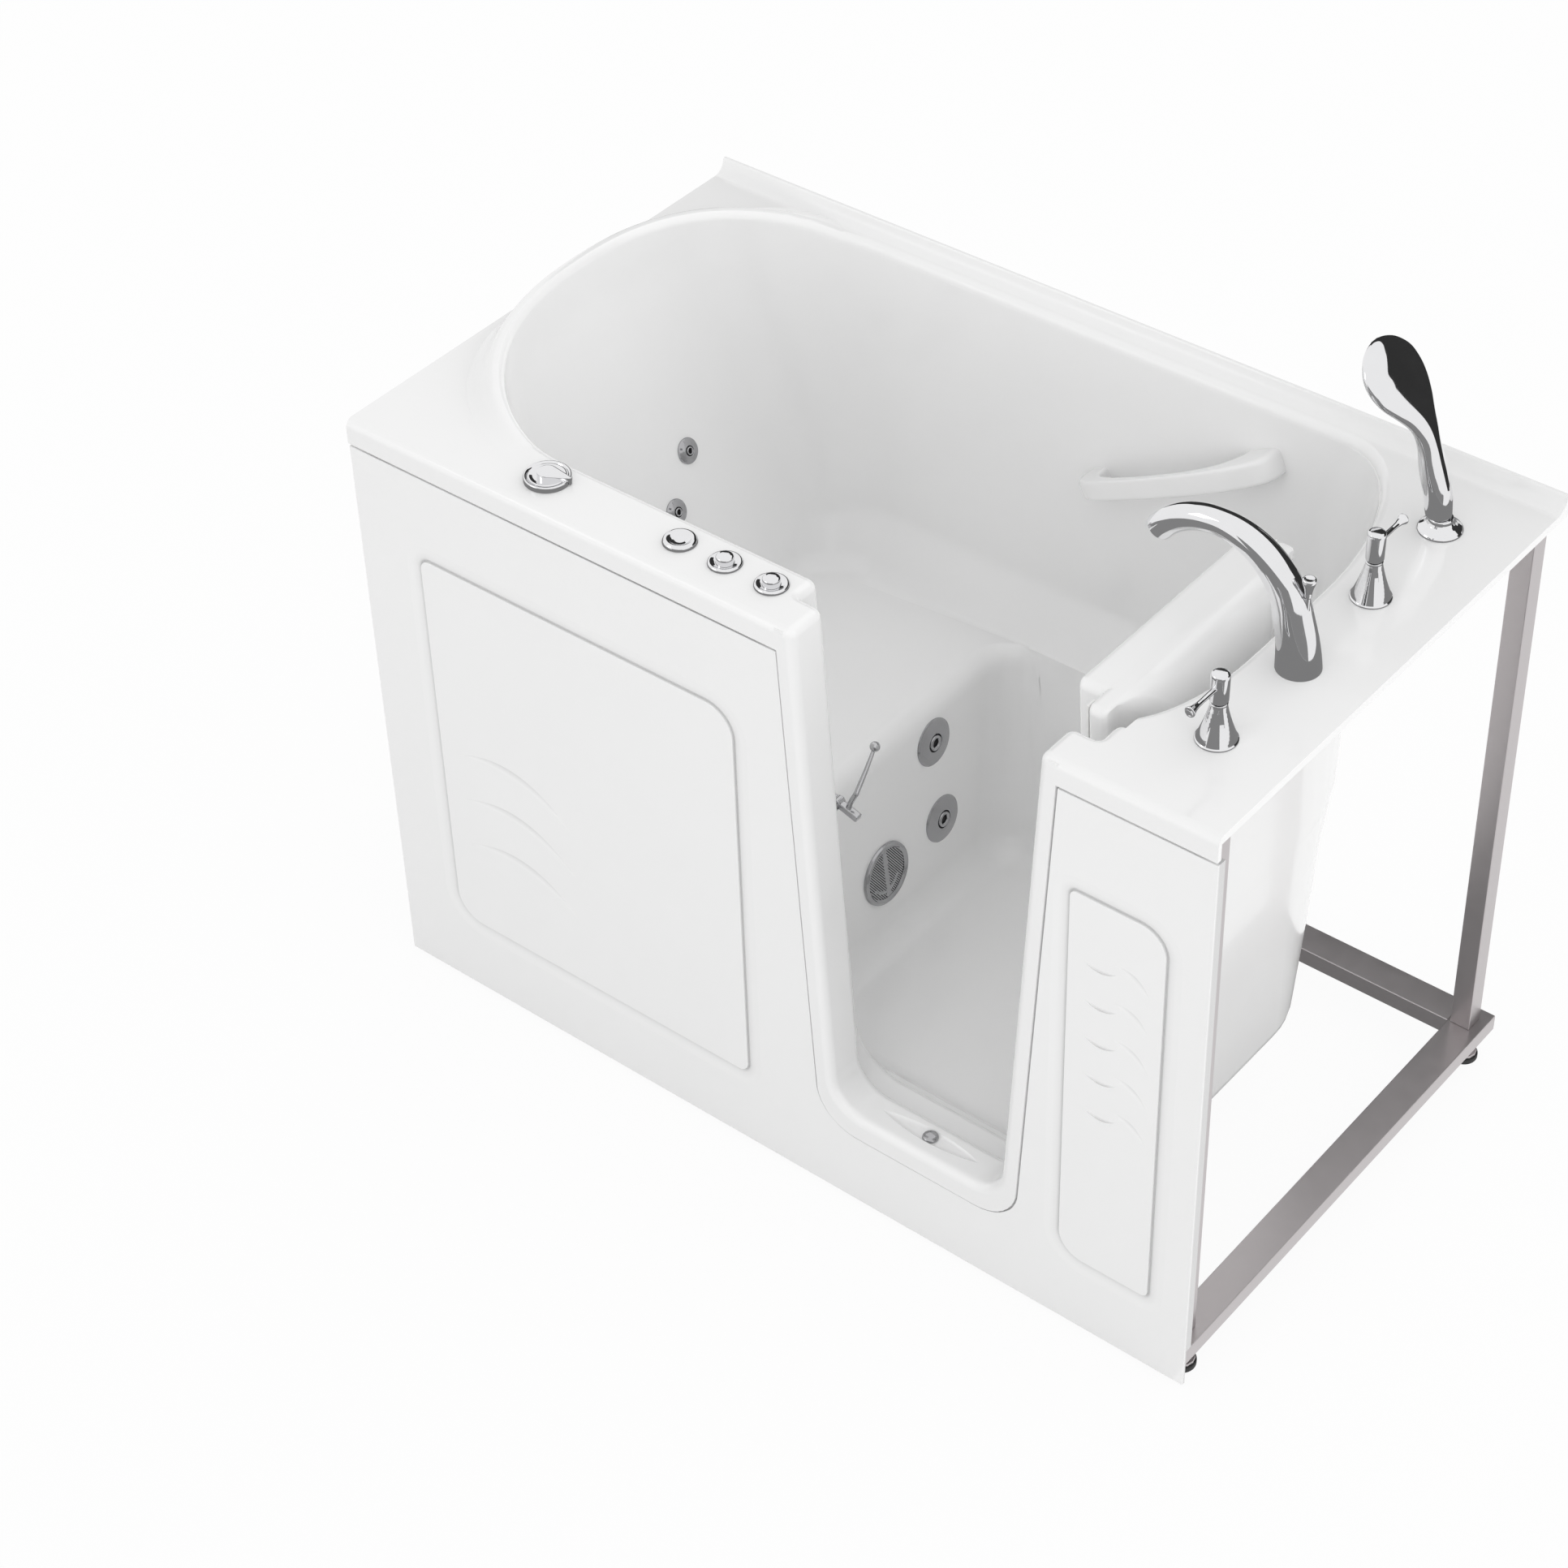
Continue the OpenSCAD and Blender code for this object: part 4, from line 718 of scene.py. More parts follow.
# %% Tools that press the relief
FACE_Y, PANEL_LOW, PANEL_HIGH = FRONT + 2, 5, 895.8
CHANNEL = [(-1.1, -3), (-1.1, -0.04), (-0.5, 0.12), (-0.1, 0.5), (0, 1.1), (0.1, 3.6), (0.6, 4.2), (1.5, 4.2),
           (2.6, 3.3), (4.2, 2.1), (6.5, 1.45), (10, 1.0), (15, 0.62), (20, 0.3), (23, 0.1), (25, -0.04), (25, -3)]


def field_outline(x, z, w, h, small, large, grow):
    """(x, z) round a field with two small and two large corners, offset by grow."""
    spots = ((x + large, z + large, large, 180), (x + w - small, z + small, small, 270),
             (x + w - large, z + h - large, large, 0), (x + small, z + h - small, small, 90))
    return [p for cx, cz, r, start in spots for p in arc(cx, cz, r + grow, start, start + 90, 10)]


def channel_tool(name, *field):
    """The ring-shaped tool that presses a channel round a field."""
    rings = [[(px, FACE_Y + deep, pz) for px, pz in field_outline(*field, grow)] for grow, deep in CHANNEL]
    count, m = len(rings[0]), len(rings)
    faces = []
    for a, b in ((r * count, (r + 1) % m * count) for r in range(m)):
        faces += [(a + i, a + (i + 1) % count, b + (i + 1) % count, b + i) for i in range(count)]
    return from_points(name, [p for ring in rings for p in ring], faces)


def crescent_tool(x, z, turn, length, sag, wide, deep, flip=1):
    """A wedge between two arcs that rises from (x, z) and leans by turn degrees."""
    rings = []
    c, s = unit(turn)
    for i in range(25):
        t = i / 24
        bow = 4 * t * (1 - t)
        gap, sunk = max(wide * bow, 0.15), deep * bow
        row = []
        for share, y in ((0, -1.5), (0, sunk + 0.06), (0.12, sunk + 0.07), (0.45, sunk * 0.52 + 0.05),
                         (1, -0.03), (1, -1.5)):
            u, v = length * t, flip * (sag * bow - gap * share)
            row.append((x + u * c + v * s, FACE_Y + y, z - u * s + v * c))
        rings.append(row)
    return loft("crescent", rings)


def paint_groove_shade(material, face, depth, share):
    """Paints shade into a finish's colour: darker with the depth behind a front face, as shade falls in a groove."""
    add, link = start_tree(material.node_tree, keep=True)
    shader = first_node(material, "BSDF_PRINCIPLED")
    base = shader.inputs["Base Color"].links[0].from_socket
    apart, scaled = add("SeparateXYZ"), add("VectorMath", operation="SCALE")
    painted_shade = add("MapRange", **{"From Min": face, "From Max": face + depth, "To Min": 1.0, "To Max": share})
    link(first_node(material, "TEX_COORD").outputs["Object"], apart.inputs[0])
    link(apart.outputs["Y"], painted_shade.inputs["Value"])
    link(base, scaled.inputs[0])
    link(painted_shade.outputs["Result"], scaled.inputs["Scale"])
    link(scaled.outputs[0], shader.inputs["Base Color"])


# %% Press the panel
panel = box_solid("front_panel_moulded", (-HALF_L, FACE_Y, PANEL_LOW), (HALF_L, FACE_Y + 5, PANEL_HIGH))
frame_room = u_slab("frame_room", [(29.3, 122.7, 67.3, y) for y in (FRONT - 5, FRONT + 30)], DECK + 4)
cut(panel, frame_room)
for field in ((-566, 132, 528, 628, 16, 43), (475, 129, 137, 623, 10, 38)):
    cut(panel, channel_tool("channel", *field))
for k in range(3):
    cut(panel, crescent_tool(-536 + 2 * k, 440 - 80 * k, 10, 208, 40, 15, 3.2))
for k in range(5):
    cut(panel, crescent_tool(499 + 2 * k, 650 - 61 * k, -4, 46, 9, 8, 2.0, -1),
        crescent_tool(540 + k, 668 - 61 * k, 30, 62, 14, 10, 2.6))
for side in (-1, 1):
    ends = sorted(((side * (HALF_L - 0.02), FACE_Y + 3, 66), (side * (HALF_L - 4), FACE_Y + 15, PANEL_HIGH - 0.5)))
    join(panel, box_solid("panel_return", *ends))
smooth(panel, 28)
# painted shade: the panel's colour darkens with depth behind its face, so its channels and crescents look shaded
SHADE_FROM, SHADE_DEPTH, SHADE = 0.6 * MM, 3.6 * MM, 0.71
paint_groove_shade(panel_gelcoat_painted_shade, FACE_Y * MM + SHADE_FROM, SHADE_DEPTH, SHADE)
place_piece(panel, "tub", panel_gelcoat_painted_shade, "panel_acrylic", "front_panel")
tell("panel", panel)

# %% [markdown]
# ## Turned fittings
# Taps, jets, buttons and drains are lathe work in chromed brass. A ring of
# edges is drawn up through a profile, one extrude and one resize a step, as a
# turner would cut it. The corners of the profile are eased first, because the
# thin bright lines on chrome come from its small rounded edges.

# %% The lathe
AXIS = 0.004


def eased(points, reach=0.8):
    """Rounds the corners of a profile, and closes it where it starts off the axis."""
    line = [points[0]]
    for before, corner, after in zip(points, points[1:], points[2:]):
        ends = []
        for other in (before, after):
            share = min(reach / max(math.dist(corner, other), 1e-6), 0.45)
            ends.append([c + share * (o - c) for c, o in zip(corner, other)])
        for t in (0, 1 / 3, 2 / 3, 1):
            line.append(tuple((1 - t) ** 2 * p + 2 * t * (1 - t) * c + t * t * q
                              for p, c, q in zip(ends[0], corner, ends[1])))
    return line + [points[-1]] + [points[0]] * (points[0][0] > 0)


def turned(name, profile, sides=48):
    """A solid of revolution from (radius, height) in millimetres, its profile closed or ending on the axis."""
    bpy.ops.object.select_all(action="DESELECT")
    radius, height = max(profile[0][0], AXIS), profile[0][1]
    bpy.ops.mesh.primitive_circle_add(vertices=sides, radius=radius * MM, location=(0, 0, 0))
    piece = bpy.context.object
    piece.name = name
    bpy.ops.object.mode_set(mode="EDIT")
    bpy.ops.mesh.select_all(action="SELECT")
    bpy.ops.transform.translate(value=(0, 0, height * MM))
    for r, z in profile[1:]:
        r = max(r, AXIS)
        bpy.ops.mesh.extrude_region_move(TRANSFORM_OT_translate={"value": (0, 0, (z - height) * MM)})
        bpy.ops.transform.resize(value=(r / radius, r / radius, 1), center_override=(0, 0, z * MM))
        radius, height = r, z
    bpy.ops.object.mode_set(mode="OBJECT")
    return tidy_mesh(piece)


def set_at(piece, place, turn=None):
    """Moves a piece's mesh to a place in millimetres, turned first."""
    matrix = Matrix.Translation(Vector(place) * MM)
    piece.data.transform(matrix @ turn.to_4x4() if turn is not None else matrix)
    return piece


def about(axis, degrees):
    """Rotation about a coordinate axis."""
    return Matrix.Rotation(math.radians(degrees), 3, axis)


def done(piece, slot, body, *nodes, angle=32, look=None):
    """Smooths a fitting, dresses it from its slot or in another look, and prints it."""
    smooth(piece, angle)
    tell(piece.name, piece)
    return place_piece(piece, body, finishes[look or slot], slot, *nodes)


def fitting(name, profile, sides, place, body, *nodes, look=None):
    """Turns a chromed fitting and sets it in its place."""
    return done(set_at(turned(name, profile, sides), place), "chrome", body, *nodes, look=look)


# %% Tap bases
TAP_ROW = 574
HOT, COLD, SPOUT_FOOT, CRADLE = ((TAP_ROW + x, y, DECK) for x, y in ((0, -242), (0, 88), (4, -77), (-4, 253)))
flare = [(10.2 + 15.6 * (1 - z / 54) ** 1.35, z) for z in (3.4, 6, 9, 13, 17, 22, 27, 32, 38, 44, 50)]
cone = eased([(4.1, 0), (25.8, 0), (26, 2.2)] + flare
             + [(10.2, 52), (10.9, 53), (10.9, 54.4), (9.6, 55), (4.1, 55)], 0.5)
for name, place in (("hot_tap_base", HOT), ("cold_tap_base", COLD)):
    fitting(name, cone, 64, place, "tub", name.replace("base", "cone"))

# %% Tap handles
HUB_LOW = 56.4
HUB_TOP = HUB_LOW + 41
hub_profile = eased([(0, 20), (3.9, 20), (3.9, HUB_LOW), (10, HUB_LOW), (11.4, HUB_LOW + 1.4), (11.6, HUB_TOP - 5),
                     (10.9, HUB_TOP - 1.8), (8.8, HUB_TOP - 0.4), (0, HUB_TOP)], 1.2)
lever_profile = eased([(0, 0), (3.7, 0), (3.4, 22), (3.2, 36), (3.5, 46), (4.6, 53), (6.3, 58.3), (7.2, 60.4),
                       (6.9, 61.8), (5.4, 62.2), (4.4, 61.5), (0, 61)], 0.9)
for name, place, side in (("hot_handle", HOT, -1), ("cold_handle", COLD, 1)):
    hub = turned(name + "_chromed", hub_profile)
    join(hub, set_at(turned("lever", lever_profile, 32), (0, 0, HUB_LOW + 23), about("X", -side * 90)))
    done(set_at(hub, place), "chrome", name.replace("handle", "lever"), name)

# %% Diverter knob
knob = eased([(0, 74), (2.9, 74), (2.9, 104.5), (4.2, 106), (4.5, 112), (5.7, 118.5), (7.8, 125), (8.6, 128.6),
              (8.4, 131.4), (7.2, 132.6), (5.8, 132.4), (4.8, 131.4), (0, 130.9)], 0.7)
fitting("diverter_pull", knob, 40, (SPOUT_FOOT[0] + 5, SPOUT_FOOT[1], DECK), "diverter", "diverter_knob")

# %% [markdown]
# The spout and the hand shower are bent tubes whose section changes on the way.
# Their rings are read off the photograph at a few places and a smooth curve
# fills in the rest, so the reflections run without a kink.

# %% Rings along a bend
def curve_through(keys, steps):
    """Values on a smooth curve through tuples of numbers."""
    line = []
    for i in range(len(keys) - 1):
        p0, p1, p2, p3 = keys[max(i - 1, 0)], keys[i], keys[i + 1], keys[min(i + 2, len(keys) - 1)]
        for k in range(steps):
            t = k / steps
            line.append(tuple(
                0.5 * (2 * b + (c - a) * t + (2 * a - 5 * b + 4 * c - d) * t * t + (3 * b - a - 3 * c + d) * t ** 3)
                for a, b, c, d in zip(p0, p1, p2, p3)))
    return line + [keys[-1]]


def bent(name, keys, steps, mouth=(), sides=48):
    """A solid along rings (x, z, half width, half thickness, tilt), with (advance, radius) rings at its mouth."""
    rings = curve_through(keys, steps)
    x, z, wide, thick, tilt = rings[-1]
    c, s = unit(tilt)
    rings += [(x - far * s, z + far * c, r, r, tilt) for far, r in mouth]
    circle, points = [unit(360 * i / sides) for i in range(sides)], []
    for x, z, wide, thick, tilt in rings:
        c, s = unit(tilt)
        points.append([(x + thick * u * c, wide * v, z + thick * u * s) for u, v in circle])
    return loft(name, points)


# %% Spout
BOW_X, BOW_Z, BOW = -116, 53, 105
spout_keys = [(0, 0, 28, 28, 0), (0, 2, 28, 28, 0), (-0.6, 10, 27.6, 27.6, 1.5), (-1.8, 22, 26.8, 26.8, 3),
              (-5, 43, 25.3, 25.3, 6)]
for k in range(14):
    a = 9 + 134 * k / 13
    r = 16.5 + 8 * (90 - a) / 82 if a < 90 else 16.5 + 1.3 * (a - 90) / 53
    c, s = unit(a)
    spout_keys.append((BOW_X + BOW * c, BOW_Z + BOW * s, r, r, a))
mouth = [(0.3, 17.7), (1.0, 17.4), (2.0, 16.6), (2.8, 15.2), (2.9, 14.0), (2.4, 13.0), (1.4, 12.5), (-4, 12.1),
         (-4, 0.05)]
spout = bent("spout_chromed", spout_keys, 3, mouth)
cut(spout, set_at(turned("knob_bore", [(0, 70), (3.1, 70), (3.1, 130), (0, 130)], 24), (5, 0, 0)))
done(set_at(spout, SPOUT_FOOT), "chrome", "tub", "spout")

# %% Hand shower
wand_keys = [(-3, 20.05, 14, 14, 3), (-3.4, 21, 15.5, 15.5, 4), (-4.4, 24, 16.6, 16.6, 8), (-8, 48, 18, 17.5, 13),
             (-14.5, 69, 18.5, 17.2, 16), (-20.8, 90, 18, 16, 15), (-26.2, 111, 17.2, 14, 18),
             (-32.6, 131, 20, 12.5, 25), (-40.7, 146.3, 26, 12, 34), (-52.1, 160.7, 37, 13, 41),
             (-65.1, 173.2, 47, 15, 45), (-76.1, 184.4, 52, 16, 44), (-86, 195, 53, 16, 42),
             (-94, 204.5, 50.5, 15.5, 40), (-101, 213, 44, 14, 39), (-108, 221.6, 33, 11, 39),
             (-112.8, 227.3, 19, 7, 40), (-115, 230, 6, 2.5, 40)]
shower = bent("hand_shower_chromed", wand_keys, 4)
face_room = turned("face_room", [(0, 8), (40.3, 8), (40.3, 38), (0, 38)], 64)
cut(shower, set_at(face_room, (-84, 0, 192), about("Y", -132)))
join(shower, turned("tail", [(0, -15), (8.4, -15), (9, -14.4), (9, 21), (0, 21)], 40))
done(set_at(shower, CRADLE), "chrome", "handset", "hand_shower")

# %% Shower cradle
cradle = eased([(9.3, -34), (13, -34), (13, 0), (28.2, 0), (28.5, 2.6), (27, 4.8), (24, 6.6), (20.6, 8.6), (17.6, 11.6),
                (15.9, 15), (15.5, 18.4), (14.6, 20), (9.3, 20)], 0.6)
fitting("shower_cradle_chromed", cradle, 56, CRADLE, "tub", "shower_cradle")

# %% [markdown]
# ## Deck controls
# The air dial turns in a low dish, its teardrop pointer folds over the rim. The
# cap and the two bezels are dished too: their far walls mirror the dark.

# %% Air dial
DIAL, CONTROL_ROW, TIP = -376, FRONT + 60, 33.4
dish = eased([(5.1, 0), (30.4, 0), (31, 0.6), (31, 7.0), (30.2, 8.1), (28.8, 8.3), (27.4, 7.3), (26.2, 5.8),
              (5.1, 5.4)], 0.5)
fitting("air_dial_dish", dish, 72, (DIAL, CONTROL_ROW, DECK), "tub", "air_dial_base")
dial = turned("air_dial_pointer", eased([(0, -12), (4.9, -12), (4.9, 5.9), (24.4, 5.9), (25, 6.6), (24.8, 7.6),
                                         (23.4, 7.9), (19, 7.2), (12, 7.0), (0, 7.0)], 0.4), 64)


def teardrop(grow):
    """(x, y) round the pointer: a round hub drawn out to a narrow tip."""
    hub = arc(0, 0, 13.5 + grow, 68, 292, 20)
    return [(TIP + grow, 2.0 + 0.7 * grow)] + hub + [(TIP + grow, -2.0 - 0.7 * grow)]


layers = [(0, 6.8), (0, 12.4), (-0.35, 13.3), (-1.1, 13.85), (-2.2, 14.05)]
pointer = loft("teardrop", [[(x, y, z - 1.6 * max(0, x / TIP) ** 2) for x, y in teardrop(grow)] for grow, z in layers])
fold = loft("fold", [[(TIP - 1.9 + dx, y * wide, z) for dx, y in ((0, -1), (1.6, -0.85), (1.9, 0), (1.6, 0.85), (0, 1))]
                     for wide, z in ((2.2, 1.4), (2.6, 2.0), (2.8, 6), (2.6, 11), (1.9, 11.9))])
join(pointer, fold)
join(dial, pointer)
done(set_at(dial, (DIAL, CONTROL_ROW, DECK), about("Z", 15)), "chrome", "air_control", "air_dial")

# %% Cap, bezels and buttons
CAP, BUTTONS = -158, (-86, -13)
cap = eased([(0, 0), (22.2, 0), (22.5, 1.4), (21.8, 4.4), (19.9, 6.6), (17.4, 7.4), (15.4, 6.9), (13.6, 5.4), (11, 4.3),
             (7, 3.7), (0, 3.5)], 0.9)
fitting("deck_cap_dish", cap, 64, (CAP, CONTROL_ROW, DECK), "tub", "deck_cap")
bezel = eased([(12.0, 0), (22.0, 0), (22.3, 1.0), (21.9, 3.2), (20.6, 4.6), (19.0, 4.9), (17.2, 4.0), (15.2, 2.7),
               (13.2, 2.2), (12.0, 2.2)], 0.6)
button = eased([(0, -3.2), (11.2, -3.2), (11.6, -2.6), (11.6, 9.6), (11.1, 11.4), (9.6, 12.6), (6.6, 13.2),
                (0, 13.5)], 0.7)
for x, node in zip(BUTTONS, ("pump_button", "blower_button")):
    place = (x, CONTROL_ROW, DECK)
    fitting(node + "_bezel", bezel, 64, place, "tub", "button_bezels")
    fitting(node + "_domed", button, 48, place, node.replace("button", "switch"), node)

# %% [markdown]
# ## Fittings in the walls
# The jets are domed discs round an eyeball; the suction cover has slanting bars
# with a plain zig-zag band down its middle.

# %% Places on the leaning walls
RISER_LEAN = math.degrees(math.atan(35.5 / 315))


def on_riser(piece, y, z):
    """Sets a piece square to the leaning riser."""
    return set_at(piece, (at(RISER, z), y, z), about("Y", 90 - RISER_LEAN))


def head_x(y, z):
    """The back rest's x at a place."""
    rx, ry, power = at(HEAD_CORNER_X, z), at(HEAD_CORNER_Y, z), corner_power(z)
    mid = at(BACK_IN, z) - ry if y > 0 else at(FRONT_IN, z) + ry
    v = max(0, (y - mid if y > 0 else mid - y) / ry)
    return at(HEAD, z) + rx * (1 - (1 - v ** power) ** (1 / power))


def on_back_rest(piece, y, z):
    """Sets a piece square to the back rest."""
    side = math.degrees(math.atan((head_x(y + 15, z) - head_x(y - 15, z)) / 30))
    lean = math.degrees(math.atan((at(HEAD, z + 10) - at(HEAD, z - 10)) / 20))
    return set_at(piece, (head_x(y, z), y, z), about("Z", -side) @ about("Y", 90 + lean))


# painted shade: black discs sit in the hollows of the jets and the suction cover, standing for the shade deep inside
# them
finishes["jet_chrome"] = finish("jet_chrome", (0.42, 0.42, 0.43), 0.09, 1.0, grain=40, tint=0.02, rough_spread=0.02)
finishes["painted_hollow_shade"] = finish("painted_hollow_shade", (0.012, 0.012, 0.012), 0.6, grain=60, tint=0.2)

# %% Jets
def jet(name, d, depth):
    """A domed disc with a ring and a nozzle, its rim depth below the wall's face."""
    r = d / 2
    disc = [(0.40, -2), (0.5, 0), (0.97, 0), (1, 0.8), (1, 2.6), (0.94, 4.0), (0.72, 5.4), (0.52, 6.4), (0.42, 6.7),
            (0.385, 6.2), (0.37, 2.6), (0.36, -2)]
    ring = [(0.17, -2), (0.335, -2), (0.335, 5.6), (0.315, 7.4), (0.27, 8.2), (0.22, 7.8), (0.175, 6.0), (0.17, -1)]
    piece = turned(name, eased([(share * r, z) for share, z in disc], 0.5), 56)
    nozzle = turned("nozzle", eased([(share * r, z) for share, z in ring], 0.35), 40)
    only(piece)
    nozzle.select_set(True)
    bpy.ops.object.join()
    return set_at(piece, (0, 0, -depth))


def painted_shade_disc(on_wall, spot, name, r, z):
    """A black disc in a hollow of a wall: painted shade that stands for the hollow's dark depth."""
    disc = turned(name, [(0, z - 0.6), (r, z - 0.6), (r, z), (0, z)], 32)
    return done(on_wall(disc, *spot), "pad_rubber", "tub", look="painted_hollow_shade")


RISER_JETS, BACK_JETS = ((97, 368), (97, 235)), ((112, 666), (53, 606), (1, 606), (-58, 666))
for kind, on_wall, spots, size, depth, hollow in (("riser", on_riser, RISER_JETS, 72, 1.5, (14.2, 1.2)),
                                                  ("back", on_back_rest, BACK_JETS, 38, 1.0, (7.3, 1.6))):
    for count, spot in enumerate(spots):
        piece = on_wall(jet("%s_jet_domed_%d" % (kind, count), size, depth), *spot)
        done(piece, "chrome", "tub", kind + "_jets", look="jet_chrome")
        painted_shade_disc(on_wall, spot, "%s_jet_painted_shade_%d" % (kind, count), *hollow)

# %% Suction cover
COVER, COVER_SPOT, PITCH, BAR, BAR_TURN, ZIG, BAND = 48, (-35, 226), 3.0, 1.8, 34, 1.2, 4.6
cover = turned("suction_cover", eased([(COVER + dx, z) for dx, z in (
    (-9, -1.5), (0, -1.5), (0, 1.2), (-1.2, 4.6), (-3.6, 6.4), (-6, 6.2), (-7.6, 4.4), (-9, 3.4))], 0.8), 64)
bars = []
reach = COVER - 8.2
for k in range(-13, 14):
    middle = k * PITCH
    long = math.sqrt(max(reach * reach - middle * middle, 0))
    if long > 4:
        bars.append(box_solid("bar", (-long, middle - BAR / 2, 0.8), (long, middle + BAR / 2, 2.9)))
        bars[-1].data.transform(Matrix.Rotation(math.radians(BAR_TURN), 4, "Z"))
zig = [(-reach + 2 * reach * k / 24, ZIG * (1 if k % 2 else -1)) for k in range(25)]
band = [[(u, v - BAND, z) for u, v in zig] + [(u, v + BAND, z) for u, v in reversed(zig)] for z in (0.8, 3.05)]
bars.append(loft("zigzag", band))
only(cover)
for bar in bars:
    bar.select_set(True)
bpy.ops.object.join()
done(on_riser(cover, *COVER_SPOT), "chrome", "tub", "suction_grille", look="jet_chrome")
# painted shade: a black disc behind the bars stands for the dark hollow
painted_shade_disc(on_riser, COVER_SPOT, "suction_painted_shade", COVER - 8.6, 0.5)

# %% Drain caps
sill_cap = eased([(0, -23), (6.1, -23), (6.1, -2.9), (11, -2.9), (11.2, -1.4), (10.2, 0.8), (7.6, 2.4), (4.4, 3.2),
                  (0, 3.5)])
fitting("sill_cap_domed", sill_cap, 48, (DOOR_X, FRONT + 35, SILL), "tub", "sill_drain_cap", look="jet_chrome")

# %% [markdown]
# ## Grab bar
# The bar's two faces are read as pairs of points along its length: a short
# return with a tight notch at one end, a long taper into a block at the other.

# %% Grab bar
pairs = [(-166, 1.5, -138, 1.5), (-167.5, -12, -138, -8), (-167, -26, -136, -16.5), (-162, -37, -131, -24),
         (-150, -44.5, -122, -29.6), (-132, -48.4, -110, -33.4), (-100, -52.0, -91, -37.8), (-50, -55.8, -47, -42.2),
         (0, -57.2, 0, -43.4), (45, -56.2, 40, -40.6), (82, -53.2, 68, -33.4), (110, -48.8, 84, -23.4),
         (134, -42.4, 93, -12.6), (149, -33, 98, -5.4), (155, -18, 100, -1.4), (156, 1.5, 101, 1.5)]
THIN, THICKER, SQUARE = 14.6, 4.4, 6  # half height at the notch, what the block adds, and the power of the section
GRAB, GRAB_TILT, WALL_LEAN = (150, 343.3, 794), -27.4, -math.degrees(math.atan(20 / 432))
grab_rings = []
for count, (ox, oy, ix, iy) in enumerate(curve_through(pairs, 4)):
    share = count / (4 * (len(pairs) - 1))
    tall = THIN + THICKER * max(0, share - 0.45) / 0.55
    ring = []
    for i in range(40):
        u, v = (bulged(part, SQUARE) for part in unit(9 * i))
        ring.append(((ox + ix) / 2 + u * (ox - ix) / 2, (oy + iy) / 2 + u * (oy - iy) / 2, v * tall))
    grab_rings.append(ring)
grab = set_at(loft("grab_bar_moulded", grab_rings), GRAB, about("X", WALL_LEAN) @ about("Y", GRAB_TILT))
done(grab, "acrylic", "tub", "grab_bar", angle=50)

# %% [markdown]
# ## Latch
# A cast arm on a round boss, with a bent rod and a ball to turn it by.

# %% Rods and rounded blocks
def rod(name, path, sides=20):
    """A round rod along (x, y, z, radius)."""
    line = curve_through(path, 5)
    circle = [unit(360 * k / sides) for k in range(sides)]
    rings = []
    for i, (x, y, z, r) in enumerate(line):
        ahead, back = line[min(i + 1, len(line) - 1)], line[max(i - 1, 0)]
        way = Vector([p - q for p, q in zip(ahead[:3], back[:3])]).normalized()
        turn = way.to_track_quat("Z", "Y").to_matrix()
        rings.append([tuple(Vector((x, y, z)) + turn @ Vector((r * u, r * v, 0))) for u, v in circle])
    return loft(name, rings)


def rounded(piece, width, segments=3):
    """Rounds a piece's edges by width in millimetres."""
    only(piece)
    bevel = piece.modifiers.new("rounded", "BEVEL")
    bevel.width, bevel.segments, bevel.limit_method = width * MM, segments, "ANGLE"
    bevel.angle_limit = math.radians(35)
    bpy.ops.object.modifier_apply(modifier=bevel.name)
    return piece


def across(name, profile, sides, x=0):
    """Lathe work whose axis points towards the front."""
    return set_at(turned(name, profile, sides), (x, 0, 0), about("X", 90))


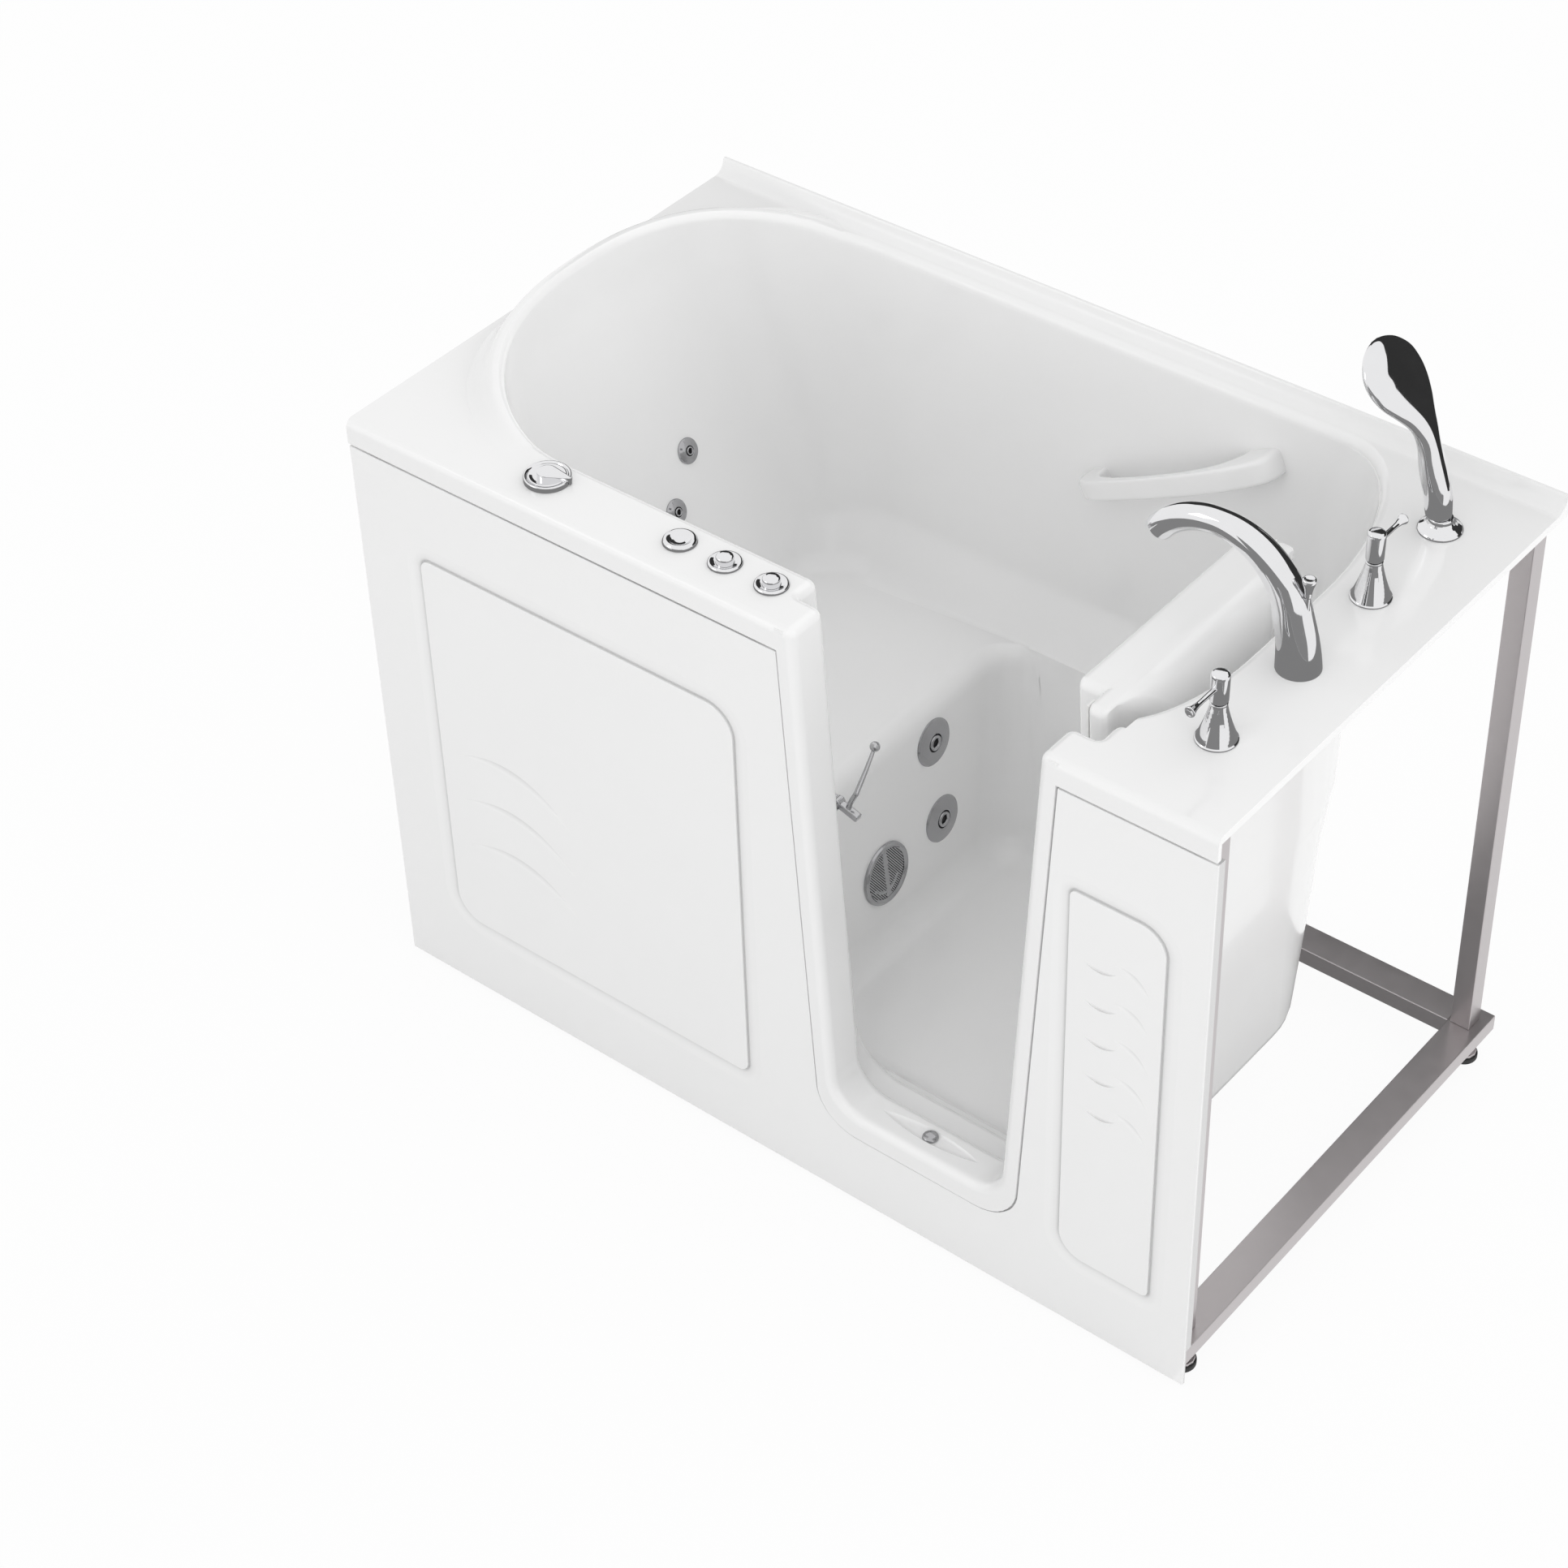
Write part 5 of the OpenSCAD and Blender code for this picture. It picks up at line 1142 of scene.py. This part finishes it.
# %% Latch
LATCH = (27, -256, 563)
boss = eased([(0, -6.6), (6.8, -6.6), (7.6, -5.8), (7.6, 5.8), (6.8, 6.6), (0, 6.6)])
arm = rounded(box_solid("latch_arm", (-60, -6, -5), (35, 6, 5)), 2.6)
join(arm, across("boss", boss, 40), across("spindle", [(0, 2), (3.9, 2), (3.9, 22), (0, 22)], 24))
cut(arm, across("pad_bore", [(0, 1), (3.05, 1), (3.05, 20), (0, 20)], 24, -51))
arm.data.transform(about("Y", 18).to_4x4())
ball_way = rod("latch_rod", [(16.4, 0, -3, 3.9), (17.2, 0, 1, 3.8), (19.8, 1.6, 10, 3.6), (24.2, 5.2, 21.5, 3.7),
                             (25.2, 7.6, 26, 3.7), (25.0, 26, 48, 3.1), (24.7, 43, 70.6, 2.5)])
join(arm, ball_way)
done(set_at(arm, LATCH), "polished_steel", "latch", "latch_lever")
bpy.ops.mesh.primitive_uv_sphere_add(segments=32, ring_count=20, radius=7 * MM, location=(0, 0, 0))
ball = bpy.context.object
ball.name = "latch_ball_turned"
done(set_at(ball, (LATCH[0] + 24.6, LATCH[1] + 46, LATCH[2] + 74.5)), "polished_steel", "latch", "latch_ball")

# %% [markdown]
# ## Drawn and folded parts
# Rails, posts, feet, hinge leaves and other plain solids keep their CAD form.
# The rails, bearers, posts and feet each get a softened copy, since a tube's edges catch the light.

# %% Softened copies
def softened(node, width):
    """A copy of a CAD node of the tub with rounded edges."""
    source = frame["nodes"][node]
    piece = bpy.data.objects.new(node + "_soft", source.data.copy())
    piece.data.transform(source.matrix_world)
    bpy.context.scene.collection.objects.link(piece)
    tidy_mesh(piece)
    bpy.ops.object.mode_set(mode="EDIT")
    bpy.ops.mesh.select_all(action="SELECT")
    bpy.ops.mesh.dissolve_limited(angle_limit=math.radians(1))
    bpy.ops.object.mode_set(mode="OBJECT")
    return done(rounded(piece, width, 2), slot_of[node], "tub", node)


for width, nodes in ((2.4, "rail_front rail_back rail_seat_end rail_tap_end"), (2.0, "cross_bearers"),
                     (2.2, "post_front_left post_front_right post_back_left post_back_right"),
                     (0.8, "foot_discs foot_pads")):
    for node in nodes.split():
        softened(node, width)

# %% Latch base
bearing = [(4.1, 262.6), (6.8, 262.6), (7.6, 263.6), (8.4, 280), (9.4, 287), (4.1, 287), (4.1, 262.6)]
base = rounded(box_solid("latch_plate", (-19, -290.6, -23), (19, -284.6, 23)), 2)
join(base, across("bearing", bearing, 40))
done(set_at(base, (LATCH[0], 0, LATCH[2])), "polished_steel", "tub", "latch_base")
